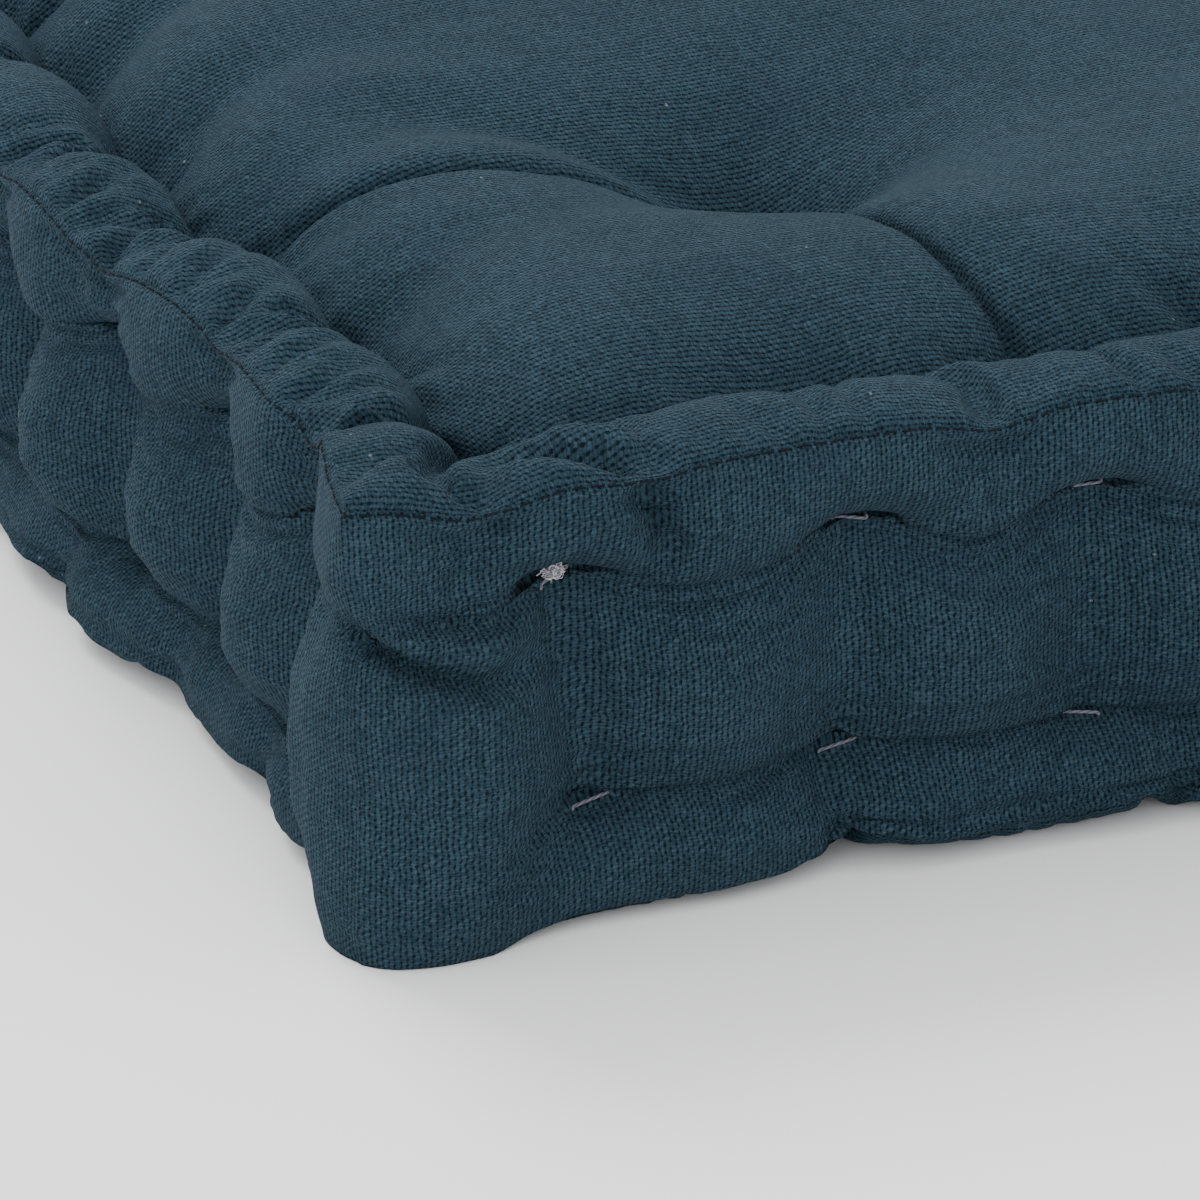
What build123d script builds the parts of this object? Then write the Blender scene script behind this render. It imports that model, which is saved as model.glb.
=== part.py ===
from build123d import *
import math
import os

# Tufted box floor cushion with rolled "mattress" edges, modelled as it is sewn
# and filled.  Millimetres, +Z up, origin at the centre of the underside.
# The panels and strips are 1 mm closed shells of canvas, the filling is three
# separate batts inside them, and the threads run in slots of their own.

# ---------------------------------------------------------------- dimensions
SIDE = 400.0            # outside to outside of the rolled edges
SEAM_TO_SEAM = 80.0     # height over the two rolled edges
CROWN = 88.0            # height of the filled middle, above the rolled edges
CLOTH = 1.0             # cover canvas with its turned seam allowance
FIT = 0.2               # clearance between cloth, filling and thread

ROLL_R = 12.5           # radius of the rolled edge
ROLL_CORNER = 13.0      # corner radius of the roll's centre line
WALL_INSET = 4.0        # the boxing wall lies this far inside the rolls
GROOVE_X = 28.0         # inner groove of the roll, from the outside edge
GROOVE_DEPTH = 12.0     # depth of that groove below the top of the roll

SEAM_DROP = 8.0         # the piped seam line, below the top of the roll
SEAM_GAP = 1.0          # room for the seam thread between the two edges
SEAM_THREAD = 0.6       # diameter of the lock-stitch thread

TUFT_PITCH = 164.0      # between tufts, both ways
TUFT_FLOOR_R = 6.0      # flat floor of a tuft dimple
TUFT_TOP_R = 46.0       # mouth of a dimple in the top
TUFT_TOP_Z = 62.0       # floor of a dimple in the top
TUFT_LOW_R = 40.0       # mouth of a dimple in the underside
TUFT_LOW_Z = 20.0       # floor of a dimple in the underside
TWINE = 1.6             # tufting twine diameter
TWINE_SPAN = 6.0        # between the two legs of a tie

STITCHES = 8            # hand stitches along each side of each roll
FIRST_STITCH = 43.0     # first stitch from the corner
STITCH_LEN = 5.0        # length of each visible stitch
YARN = 0.8              # stitching yarn diameter

BATT_LOW_Z = 26.0       # joint between lower and core batts
BATT_TOP_Z = 54.0       # joint between core and upper batts

H = SIDE / 2
CL = H - ROLL_R                         # centre line of the rolls
ZU = SEAM_TO_SEAM - ROLL_R              # height of the upper roll's centre
ZL = ROLL_R                             # height of the lower roll's centre
SEAM_Z = (SEAM_DROP, SEAM_TO_SEAM - SEAM_DROP)
TUFTS = {
    "front_left": (-TUFT_PITCH / 2, -TUFT_PITCH / 2),
    "front_right": (TUFT_PITCH / 2, -TUFT_PITCH / 2),
    "back_left": (-TUFT_PITCH / 2, TUFT_PITCH / 2),
    "back_right": (TUFT_PITCH / 2, TUFT_PITCH / 2),
}
SIDES = {"front": 0.0, "right": 90.0, "back": 180.0, "left": 270.0}
STITCH_X = [-H + FIRST_STITCH + i * (SIDE - 2 * FIRST_STITCH) / (STITCHES - 1)
            for i in range(STITCHES)]


def prism(half, corner, z0, z1):
    return Pos(0, 0, z0) * extrude(RectangleRounded(2 * half, 2 * half, corner), z1 - z0)


def ring(half, corner, z, radius):
    """A round rope laid along a rounded square."""
    path = (Pos(0, 0, z) * RectangleRounded(2 * half, 2 * half, corner)).wire()
    start = Plane(origin=path @ 0, z_dir=path % 0)
    return sweep(start * Circle(radius), path=path)


def pad(z0, z1, off, fillet_r, up):
    """Filled middle of one face, its outer edges rounded over."""
    half = H - GROOVE_X - off
    block = prism(half, 24.0 - off, z0, z1)
    face = block.faces().sort_by(Axis.Z)[-1 if up else 0]
    return fillet(face.edges(), fillet_r - off)


def body(off):
    """The cushion's outer form, everywhere drawn in by off."""
    low, top = GROOVE_DEPTH + off, SEAM_TO_SEAM - GROOVE_DEPTH - off
    s = prism(H - WALL_INSET - off, H - WALL_INSET - (CL - ROLL_CORNER) - off, low, top)
    s += ring(CL, ROLL_CORNER, ZU, ROLL_R - off)
    s += ring(CL, ROLL_CORNER, ZL, ROLL_R - off)
    s += pad(50.0, CROWN - off, off, 14.0, True)
    s += pad(off, 30.0, off, 8.0, False)
    for x, y in TUFTS.values():
        h = CROWN + 1 - TUFT_TOP_Z + off
        s -= Pos(x, y, TUFT_TOP_Z - off + h / 2) * Cone(
            TUFT_FLOOR_R + 1.2 * off, TUFT_TOP_R + 1.2 * off, h)
        h = TUFT_LOW_Z + 1 + off
        s -= Pos(x, y, -1 + h / 2) * Cone(
            TUFT_LOW_R + 1.2 * off, TUFT_FLOOR_R + 1.2 * off, h)
    return s


# ------------------------------------------------- thread runs and their slots
# A roll stitch goes in under the roll at the wall and comes out in the groove
# behind the roll, so the roll is drawn up into a rope of filling.
P_WALL = (H - WALL_INSET + 0.7, ZU - 9.7)
P_GROOVE = (H - GROOVE_X + 1.5, SEAM_TO_SEAM - GROOVE_DEPTH + 0.9)
RUN = math.dist(P_WALL, P_GROOVE)
RISE = math.degrees(math.atan2(P_GROOVE[1] - P_WALL[1], P_WALL[0] - P_GROOVE[0]))


def thread_loop(length, width, r, corner):
    """A closed loop of yarn in the XY plane, length along X."""
    path = RectangleRounded(length, width, corner).wire()
    start = Plane(origin=path @ 0, z_dir=path % 0)
    return sweep(start * Circle(r), path=path)


def at_stitch(x, upper):
    """Place of a roll stitch on the front side: X inward and up the run, Y along the side."""
    zw, zg = (P_WALL[1], P_GROOVE[1]) if upper else (SEAM_TO_SEAM - P_WALL[1], SEAM_TO_SEAM - P_GROOVE[1])
    mid = Vector(x, -(P_WALL[0] + P_GROOVE[0]) / 2, (zw + zg) / 2)
    inward = Vector(0, P_WALL[0] - P_GROOVE[0], zg - zw).normalized()
    return Plane(origin=mid, x_dir=inward, z_dir=inward.cross(Vector(1, 0, 0)))


loop = thread_loop(RUN, STITCH_LEN, YARN / 2, 0.9)
slot = Pos(-1.6, 0, 0) * Box(RUN + 5.2, STITCH_LEN + YARN + 0.8, YARN + 0.6)
slots = []
stitches = {}
for side, turn in SIDES.items():
    for level, upper in (("upper", True), ("lower", False)):
        group = []
        for x in STITCH_X:
            place = Rot(0, 0, turn) * at_stitch(x, upper).location
            group.append(place * loop)
            slots.append(place * slot)
        stitches[f"{level}_roll_stitches_{side}"] = group

ties = {}
for name, (x, y) in TUFTS.items():
    z0, z1 = TUFT_LOW_Z - TWINE / 2 - FIT, TUFT_TOP_Z + TWINE / 2 + FIT
    upright = Plane(origin=(x, y, (z0 + z1) / 2), x_dir=(0, 0, 1), z_dir=(0, 1, 0))
    tie = upright.location * thread_loop(z1 - z0, TWINE_SPAN, TWINE / 2, 1.6)
    tie += Pos(x, y, z0 - 1.6) * Sphere(2.1)
    ties[f"tuft_tie_{name}"] = tie
    slots.append(Pos(x, y, 40) * Box(TWINE_SPAN + TWINE + 0.8, TWINE + 0.8, 60))

# ------------------------------------------------------------------- the cover
outer = body(0.0)
inner = body(CLOTH)
cover = outer - inner
cover -= slots

zone_half, zone_corner = CL - 2.0, ROLL_CORNER
g = SEAM_GAP / 2


def band(extra):
    """Everything outside the rolls' centre line, between the two seams."""
    z0, z1 = SEAM_Z[0] + g - extra, SEAM_Z[1] - g + extra
    return (prism(H + 20, 30, z0, z1)
            - prism(zone_half, zone_corner, z0 - 1, z1 + 1))


boxing = cover & band(0.0)
rest = cover - band(SEAM_GAP)
top_panel = rest & (Pos(0, 0, 40 + 50) * Box(500, 500, 100))
bottom_panel = rest & (Pos(0, 0, 40 - 50) * Box(500, 500, 100))

# the boxing is two strips, joined at the front right and back left corners
lane = Rot(0, 0, -45) * Box(700, SEAM_GAP, 200)
boxing -= lane
front_left = Pos(0, 0, 0) * (Rot(0, 0, -45) * (Pos(0, -200 - g, 0) * Box(700, 400, 300)))
boxing_front_left = boxing & front_left
boxing_back_right = boxing - front_left

# ------------------------------------------------------------------ the filling
fill = body(CLOTH + FIT) - slots
upper_batt = fill & (Pos(0, 0, BATT_TOP_Z + FIT / 2 + 50) * Box(500, 500, 100))
core_batt = fill & (Pos(0, 0, (BATT_LOW_Z + BATT_TOP_Z) / 2)
                    * Box(500, 500, BATT_TOP_Z - BATT_LOW_Z - FIT))
lower_batt = fill & (Pos(0, 0, BATT_LOW_Z - FIT / 2 - 50) * Box(500, 500, 100))

# ------------------------------------------------------------ machine stitching
mid_r = ROLL_R - CLOTH / 2
reach = math.sqrt(mid_r ** 2 - (SEAM_Z[1] - ZU) ** 2)
top_seam = ring(CL + reach, ROLL_CORNER + reach, SEAM_Z[1], SEAM_THREAD / 2)
bottom_seam = ring(CL + reach, ROLL_CORNER + reach, SEAM_Z[0], SEAM_THREAD / 2)
wall_r = H - WALL_INSET - (CL - ROLL_CORNER) - CLOTH / 2
diag = (CL - ROLL_CORNER) + wall_r * math.sqrt(0.5)
join_z = (25.0, 55.0)
join = Cylinder(SEAM_THREAD / 2, join_z[1] - join_z[0])
join_front_right = Pos(diag, -diag, sum(join_z) / 2) * join
join_back_left = Pos(-diag, diag, sum(join_z) / 2) * join

# a knot of white cotton closes the hand stitching beside the first front stitch
knot_at = (STITCH_X[0] - STITCH_LEN / 2 - 3.4, -(H - WALL_INSET + 1.7), P_WALL[1] - 0.6)
knot = Pos(*knot_at) * (Sphere(1.4) + Rot(0, 90, 0) * Cylinder(0.7, 4.8) + Rot(20, 60, 0) * Cylinder(0.5, 4.4))

# ----------------------------------------------------------------------- output
nodes = {
    "top_panel": top_panel,
    "bottom_panel": bottom_panel,
    "boxing_strip_front_left": boxing_front_left,
    "boxing_strip_back_right": boxing_back_right,
    "upper_batt": upper_batt,
    "core_batt": core_batt,
    "lower_batt": lower_batt,
    "top_seam_thread": top_seam,
    "bottom_seam_thread": bottom_seam,
    "boxing_join_thread_front_right": join_front_right,
    "boxing_join_thread_back_left": join_back_left,
    "tie_off_knot": knot,
}
nodes.update(ties)
nodes.update({k: Compound(children=v) for k, v in stitches.items()})

os.makedirs("parts", exist_ok=True)
for name, shape in nodes.items():
    solids = shape.solids()
    out = solids[0] if len(solids) == 1 else Compound(children=list(solids))
    export_step(out, f"parts/{name}.step")
    print(name, len(solids), round(sum(s.volume for s in solids), 1))
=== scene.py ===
"""Floor cushion: a tufted, rolled-edge canvas cushion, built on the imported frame.

The cover is simulated as cloth round its filling, then its yarn, threads, twine, knot and
batts are laid on the shape that comes out.  Lengths are millimetres until a mesh is made.
"""
import math

import bpy
import numpy as np
from mathutils import Matrix, Vector


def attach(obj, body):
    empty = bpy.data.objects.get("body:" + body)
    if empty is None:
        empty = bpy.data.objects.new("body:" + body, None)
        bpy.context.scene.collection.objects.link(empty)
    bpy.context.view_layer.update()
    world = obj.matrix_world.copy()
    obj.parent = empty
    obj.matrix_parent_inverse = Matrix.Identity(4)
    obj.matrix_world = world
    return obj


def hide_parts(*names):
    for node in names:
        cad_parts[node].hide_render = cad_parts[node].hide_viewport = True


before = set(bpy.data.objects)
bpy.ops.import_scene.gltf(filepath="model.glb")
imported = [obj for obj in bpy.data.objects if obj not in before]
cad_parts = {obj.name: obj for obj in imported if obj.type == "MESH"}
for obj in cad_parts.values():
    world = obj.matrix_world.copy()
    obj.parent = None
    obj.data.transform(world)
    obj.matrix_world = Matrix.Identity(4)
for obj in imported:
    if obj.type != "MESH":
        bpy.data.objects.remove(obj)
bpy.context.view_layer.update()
scene = bpy.context.scene

# ---------------------------------------------------------------- the camera
YAW, PITCH, ROLL = 0.352712165, 0.426749406, -0.020267006
EYE = np.array([-559.24, -1286.65, 585.53])
fwd = np.array([math.sin(YAW) * math.cos(PITCH), math.cos(YAW) * math.cos(PITCH), -math.sin(PITCH)])
side = np.array([math.cos(YAW), -math.sin(YAW), 0.0])
over = np.cross(side, fwd)
right = side * math.cos(ROLL) + over * math.sin(ROLL)
upward = over * math.cos(ROLL) - side * math.sin(ROLL)
lens = bpy.data.cameras.new("camera")
lens.lens, lens.sensor_width = 240.0, 36.0
lens.clip_start, lens.clip_end = 0.1, 30.0
camera = bpy.data.objects.new("camera", lens)
scene.collection.objects.link(camera)
camera.matrix_world = Matrix([[right[i], upward[i], -fwd[i], EYE[i] / 1000] for i in range(3)] + [[0, 0, 0, 1]])
scene.camera = camera


# ----------------------------------------------------------------- the cover
# The cover is simulated as cloth: two square panels and the boxing strip, each
# a grid of points along its warp and weft, sewn at the seams, pushed out by the
# filling and drawn in by the roll stitches and the tuft ties.  Millimetres.
F32 = np.float32
PANEL = 430.0       # cut size of each panel, seam to seam
BOXING = 412.0      # length of boxing along each side, the panel is eased into it
STRIP = 92.0        # cut height of the boxing, seam to seam
TUFT = 82.0         # tufts from the middle, both ways

# Hand stitches along each side, seen from above and counted anticlockwise:
# front, right, back, left.
UPPER = [
    [-163, -112, -71.5, -28, 16, 60, 105, 152],
    [-156, -110, -66, -22, 22, 67, 112, 157],
    [-157, -112, -66, -22, 23, 67, 112, 156],
    [-150, -105, -60, -20, 25, 70, 115, 160],
]
LOWER = [
    [-157.5, -113.5, -71.7, -28, 16, 60, 105, 152],
    [-156, -111, -67, -22, 22, 67, 112, 157],
    [-158, -112, -66, -23, 23, 67, 111, 156],
    [-150, -106, -61, -20, 25, 70, 114, 160],
]
# Where the rolls are nipped in, as (place, how much), in mm off the radius.
NIPS_UP = [
    [(-177, 5.5), (-150, 3.0), (-90, 5.0), (-52, 2.0), (-8, 3.5), (38, 3.0), (82, 4.0), (128, 3.0), (172, 3.5)],
    [(-176, 3.5), (-133, 3.0), (-88, 4.0), (-44, 2.5), (0, 3.5), (45, 3.0), (90, 4.0), (134, 3.0), (176, 3.5)],
    [(-176, 3.5), (-134, 3.0), (-89, 3.5), (-44, 3.0), (1, 4.0), (45, 2.5), (90, 3.5), (134, 3.5), (176, 3.5)],
    [(-176, 3.0), (-128, 3.0), (-59, 4.5), (-20, 4.5), (25, 4.5), (62, 4.0), (74, 4.0), (117, 5.0), (161, 6.0)],
]
NIPS_LOW = [
    [(-172, 1.5), (-116, 5.0), (-56, 4.0), (-6, 2.5), (40, 3.0), (84, 2.5), (130, 3.0), (174, 1.5)],
    [(-172, 1.5), (-130, 3.0), (-86, 2.5), (-40, 3.0), (4, 2.5), (48, 3.0), (92, 2.5), (136, 3.0), (174, 1.5)],
    [(-172, 1.5), (-132, 2.5), (-88, 3.0), (-42, 2.5), (2, 3.0), (46, 2.5), (90, 3.0), (134, 2.5), (174, 1.5)],
    [(-172, 1.5), (-126, 3.0), (-80, 3.0), (-36, 3.5), (8, 4.0), (47, 4.2), (92, 4.5), (136, 4.5), (170, 3.5)],
]
# How far each side bows out past the corners, as (place, mm).
BOWS = [
    [(-200, -0.5), (-160, 1.0), (-120, -0.5), (-90, 0.5), (-70, 2.5), (-50, 4), (0, 5), (100, 4), (200, 0)],
    [(-200, 0), (-120, 3), (-50, 5), (0, 5.5), (50, 5), (120, 3), (200, 0)],
    [(-200, 0), (-120, 3), (-50, 5), (0, 5.5), (50, 5), (120, 3), (200, 0)],
    [(-200, 0), (-120, 4), (-60, 6.5), (0, 7.5), (29, 8), (55, 7), (67, 6), (77, 3.5), (92, 1), (110, -2), (124, -2.5), (146, -2), (152, -5), (160, -5), (172, -2), (185, 1), (200, 3.5)],
]
# How far the seams rise, at the top, and stand, at the bottom, as (place, mm).
RISE = [
    [(-200, 1.5), (-182, 0), (-150, 0.5), (-112, 0), (-60, 1), (0, 0), (100, 1), (200, 0)],
    [(-200, 0), (-100, 1), (0, 0), (100, 1), (200, 0)],
    [(-200, 0), (-100, 0), (0, 1), (100, 0), (200, 0)],
    [(-200, 0), (-100, 1), (0, 0), (60, 1), (74, -1), (100, 0.5), (146, 0), (156, -1.5), (163, 1), (171, 4.5), (184, 2), (200, 1.5)],
]
STAND = [
    [(-200, 1.0), (-170, 2.0), (-121, 2.5), (-114, 6.0), (-100, 4.5), (-60, 6.0), (0, 4), (60, 6), (120, 3), (200, 1)],
    [(-200, 1), (-120, 3), (-60, 5), (0, 3), (80, 6), (140, 4), (200, 1)],
    [(-200, 1), (-130, 5), (-50, 3), (20, 6), (100, 4), (200, 1)],
    [(-200, 1), (-120, 5), (-40, 4), (40, 5), (100, 3), (150, 3), (200, 1)],
]
SIDE_X, SIDE_Y = (1, 0, -1, 0), (0, 1, 0, -1)      # along each side; outward is (y, -x)


def smooth(x):
    x = np.clip(x, 0, 1)
    return x * x * (3 - 2 * x)


def place(table, k, s):
    return np.interp(s, [p[0] for p in table[k]], [p[1] for p in table[k]])


def bow(k, s):
    return place(BOWS, k, s)


def nips(k, s, table):
    """Loss of radius along a side, smooth dips at the listed places."""
    out = np.zeros_like(np.asarray(s, float))
    for at, deep in table[k]:
        out = np.maximum(out, deep * np.exp(-((s - at) / 9.0) ** 2))
    return out


S461 = np.arange(-230, 231, 1.0)


def rounded(table):
    k = np.exp(-(np.arange(-12, 13) / 5.0) ** 2)
    pad = np.pad(table, 12, mode="edge")
    return np.convolve(pad, k / k.sum(), mode="valid")


# the four sides' tables read by x or y, so those of the back and left are turned round
def by_xy(f):
    t = [f(k, S461 if k in (0, 1) else -S461) for k in range(4)]
    return [np.asarray(v, F32) for v in t]


BOW_T = [rounded(v).astype(F32) for v in by_xy(bow)]
NIP_UP_T = by_xy(lambda k, s: nips(k, s, NIPS_UP))
NIP_LOW_T = by_xy(lambda k, s: nips(k, s, NIPS_LOW))


def line_dip(x, y, pts):
    """A valley along a line of (x, y, depth, width) points."""
    out = np.zeros_like(x)
    for (x0, y0, d0, w0), (x1, y1, d1, w1) in zip(pts[:-1], pts[1:]):
        dx, dy = x1 - x0, y1 - y0
        t = np.clip(((x - x0) * dx + (y - y0) * dy) / (dx * dx + dy * dy), 0, 1)
        r2 = (x - x0 - t * dx) ** 2 + (y - y0 - t * dy) ** 2
        out = np.maximum(out, (d0 + (d1 - d0) * t) * np.exp(-r2 / (w0 + (w1 - w0) * t) ** 2))
    return out


def filling_top():
    """Height of the filling under the top panel, on a 1 mm grid."""
    x, y = np.meshgrid(S461, S461, indexing="ij")
    bx = np.where(x < 0, BOW_T[3][None, :], BOW_T[1][None, :])
    by = np.where(y < 0, BOW_T[0][:, None], BOW_T[2][:, None])
    o = np.maximum(np.abs(x) - bx, np.abs(y) - by)
    h = 83.5 - 15.0 * smooth((o - 150) / 25)
    for tx in (-TUFT, TUFT):
        for ty in (-TUFT, TUFT):
            r = np.hypot(x - tx, y - ty)
            h -= 24.0 * np.exp(-(r / 15.0) ** 2) + 7.0 * np.exp(-(r / 36.0) ** 2)
    for c, s in ((1, 0), (0, 1), (-1, 0), (0, -1)):
        pts = [(-82, -82, 4, 14), (-56, -68, 6, 11), (-31, -48, 6, 10), (0, -37, 5, 10), (31, -48, 6, 10), (56, -68, 6, 11), (82, -82, 4, 14)]
        h -= line_dip(x, y, [(c * a - s * b, s * a + c * b, d, w) for a, b, d, w in pts])
    # pleats that run from the nips of the left roll to the near tuft
    for pts in (
        [(-176, -118, 9, 7), (-150, -104, 5, 8), (-128, -100, 2, 9), (-110, -98, 0.5, 9)],
        [(-176, -72, 12, 7), (-160, -56, 9, 8), (-140, -49, 7, 9), (-120, -52, 6, 10), (-104, -66, 6, 10), (-92, -78, 4, 10)],
        [(-176, -25, 10, 7), (-155, -14, 6, 8), (-130, -14, 4, 9), (-105, -18, 2, 10)],
        [(-176, 22, 10, 7), (-150, 30, 5, 8), (-125, 40, 2, 10)],
        [(-174, 60, 10, 7), (-145, 66, 5, 9), (-110, 76, 4, 10)],
        [(-176, -160, 7, 6), (-158, -150, 3, 8), (-140, -142, 0.5, 8)],
        [(-112, -176, 5, 7), (-110, -160, 1.5, 9), (-104, -140, 0.3, 10)],
        [(-71, -176, 5, 7), (-70, -160, 1.5, 9), (-68, -140, 0.3, 10)],
    ):
        h -= line_dip(x, y, pts)
    # firmer filling between the near tuft and the front roll: no fold runs that way
    h += line_dip(x, y, [(-80, -102, 4, 14), (-74, -130, 5, 16), (-70, -158, 3, 14)])
    return h.astype(F32)


def filling_low():
    x, y = np.meshgrid(S461, S461, indexing="ij")
    o = np.maximum(np.abs(x), np.abs(y)) - 4.0
    h = -6.0 + 20.0 * smooth((o - 158) / 20)
    for tx in (-TUFT, TUFT):
        for ty in (-TUFT, TUFT):
            r = np.hypot(x - tx, y - ty)
            h += 24.0 * np.exp(-(r / 16.0) ** 2) + 4.0 * np.exp(-(r / 30.0) ** 2)
    return h.astype(F32)


TOP_H, LOW_H = filling_top(), filling_low()


def read(table, *at):
    i = [np.clip((a + F32(230.5)).astype(np.int32), 0, 460) for a in at]
    return table[tuple(i)]


def square(x, y, half, r):
    """Distance outside a rounded square."""
    qx, qy = np.abs(x) - (half - F32(r)), np.abs(y) - (half - F32(r))
    return np.hypot(np.maximum(qx, 0), np.maximum(qy, 0)) + np.minimum(np.maximum(qx, qy), 0) - F32(r)


def project(A, B, L, k, kc):
    """Moves point pairs towards their distance L in the cloth; k if stretched, kc if pushed together."""
    d = B - A
    l = np.sqrt(d[0] * d[0] + d[1] * d[1] + d[2] * d[2]) + F32(1e-6)
    c = (l - L) / l
    c = np.where(c > 0, c * F32(0.5 * k), c * F32(0.5 * kc))
    d *= c
    A += d
    B -= d


def ring_of(P):
    """Edge of a panel, front first, anticlockwise."""
    return np.concatenate([P[:, :-1, 0], P[:, -1, :-1], P[:, :0:-1, -1], P[:, 0, :0:-1]], axis=1)


def set_ring(P, R):
    n = P.shape[1] - 1
    P[:, :-1, 0] = R[:, :n]
    P[:, -1, :-1] = R[:, n:2 * n]
    P[:, :0:-1, -1] = R[:, 2 * n:3 * n]
    P[:, 0, :0:-1] = R[:, 3 * n:]


# The wall from the top seam down to the bottom seam: depth along the cloth, then how far
# out it stands and its height, at a stitch, between two stitches and at a corner, and the
# radius of the corner in plan.
WALL = np.array([
    #  depth  stitch        between       corner        radius
    [0.0, 0.0, 79.0, 0.0, 79.0, 0.0, 79.0, 0.0],
    [6.5, 1.5, 73.0, 2.2, 73.0, 1.5, 73.0, 4.0],
    [13.5, 0.5, 66.5, 2.6, 66.0, 1.7, 66.5, 7.0],
    [20.0, -5.0, 62.5, 0.8, 59.5, 0.5, 61.0, 9.0],
    [25.5, -9.5, 60.5, -3.0, 56.0, -1.0, 57.5, 11.0],
    [30.5, -9.0, 56.5, -3.2, 52.5, 1.5, 54.0, 14.0],
    [40.0, -7.5, 47.0, 0.3, 45.0, 5.0, 46.0, 18.0],
    [47.0, -7.0, 40.0, 2.0, 39.0, 6.3, 39.5, 20.0],
    [57.0, -7.0, 30.0, 1.8, 30.0, 6.7, 30.0, 22.0],
    [65.0, -8.0, 23.5, -1.2, 23.0, 6.6, 22.5, 22.0],
    [69.0, -9.0, 20.5, -4.0, 20.0, 6.5, 18.5, 22.0],
    [74.5, -4.0, 17.0, -1.0, 16.5, 6.5, 13.5, 21.0],
    [82.0, 0.5, 11.0, 2.0, 10.5, 6.0, 7.0, 19.0],
    [88.5, 0.0, 5.0, 1.0, 4.5, 4.0, 2.0, 16.0],
    [92.0, -2.5, 3.5, -2.0, 3.0, 1.5, 0.5, 14.0],
])
FULL = (1.0, 1.1, 1.1, 1.35)     # how much the wall swells between stitches, side by side


def wall_goal(q, m):
    """Where the filling holds the wall, on its grid of columns and rows."""
    t, sx = np.linspace(0, STRIP, m), (np.arange(q) / q - 0.5) * 396.0
    fine = np.arange(-8, STRIP + 8.01, 0.5)
    kern = np.exp(-(np.arange(-6, 7) * 0.5 / 1.4) ** 2)
    kern /= kern.sum()

    def col(c):
        raw = np.interp(fine, WALL[:, 0], WALL[:, c])
        # keep the ends where they are while the corners of the line are eased
        raw[fine < 0] = 2 * raw[fine >= 0][0] - np.interp(-fine[fine < 0], WALL[:, 0], WALL[:, c])
        end = fine > STRIP
        raw[end] = 2 * WALL[-1, c] - np.interp(2 * STRIP - fine[end], WALL[:, 0], WALL[:, c])
        return np.interp(t, fine, np.convolve(np.pad(raw, 6, mode="edge"), kern, mode="valid"))

    so, sz, bo, bz, co, cz, rad = (col(c)[None, :] for c in range(1, 8))
    rad = np.maximum(rad, 0.01)
    low = smooth((t - 30.0) / 34.0)[None, :]
    out = np.zeros((3, 4 * q, m))
    for k in range(4):
        near = [np.min([np.abs(sx - v) for v in table[k]], axis=0) for table in (UPPER, LOWER)]
        f = [(1 - np.exp(-(v / 12.5) ** 2))[:, None] for v in near]
        f = f[0] * (1 - low) + f[1] * low
        o, z = so + (bo - so) * f * FULL[k], sz + (bz - sz) * f
        edge = smooth((np.abs(sx) - 161.0) / 17.0)[:, None]
        o, z = o + (co - o) * edge, z + (cz - z) * edge
        up, lo = nips(k, sx, NIPS_UP)[:, None], nips(k, sx, NIPS_LOW)[:, None]
        z = z + place(RISE, k, sx)[:, None] * (1 - smooth(t / 20.0))[None, :]
        z = z + (place(STAND, k, sx)[:, None] - sz[:, -1:]) * smooth((t - 80.0) / 12.0)[None, :]
        o = o + 0.45 * np.maximum(place(STAND, k, sx)[:, None] - 2.5, 0) * smooth((t - 84.0) / 8.0)[None, :]
        a, b = 1 - smooth((t - 14.0) / 12.0)[None, :], smooth((t - 66.0) / 10.0)[None, :]
        o = o - 0.8 * up * a * smooth(t / 5.0)[None, :] - 0.9 * lo * b
        z = z - 0.5 * up * (1 - smooth(t / 16.0))[None, :] + 0.4 * lo * smooth((t - 84.0) / 8.0)[None, :]
        away = np.abs(sx)[:, None] - (198.0 - rad)
        th = np.clip(away / rad, 0, 1) * (math.pi / 4)
        arc = away > 0
        along = np.where(arc, 198.0 - rad + (rad + o) * np.sin(th), np.abs(sx)[:, None])
        beyond = np.where(sx > 0, place(BOWS, (k + 1) % 4, np.array([-200.0])), place(BOWS, (k - 1) % 4, np.array([200.0])))
        along = (along + (beyond * smooth((np.abs(sx) - 150.0) / 48.0))[:, None]) * np.sign(sx)[:, None]
        lean = bow(k, sx)[:, None]
        lean = lean + (np.maximum(lean, 0) - lean) * smooth((t - 10.0) / 25.0)[None, :]
        outw = np.where(arc, 198.0 - rad + (rad + o) * np.cos(th), 198.0 + o) + lean
        c, e, part = SIDE_X[k], SIDE_Y[k], slice(k * q, (k + 1) * q)
        out[0, part], out[1, part], out[2, part] = along * c + outw * e, along * e - outw * c, z
    return out.astype(F32)


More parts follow.
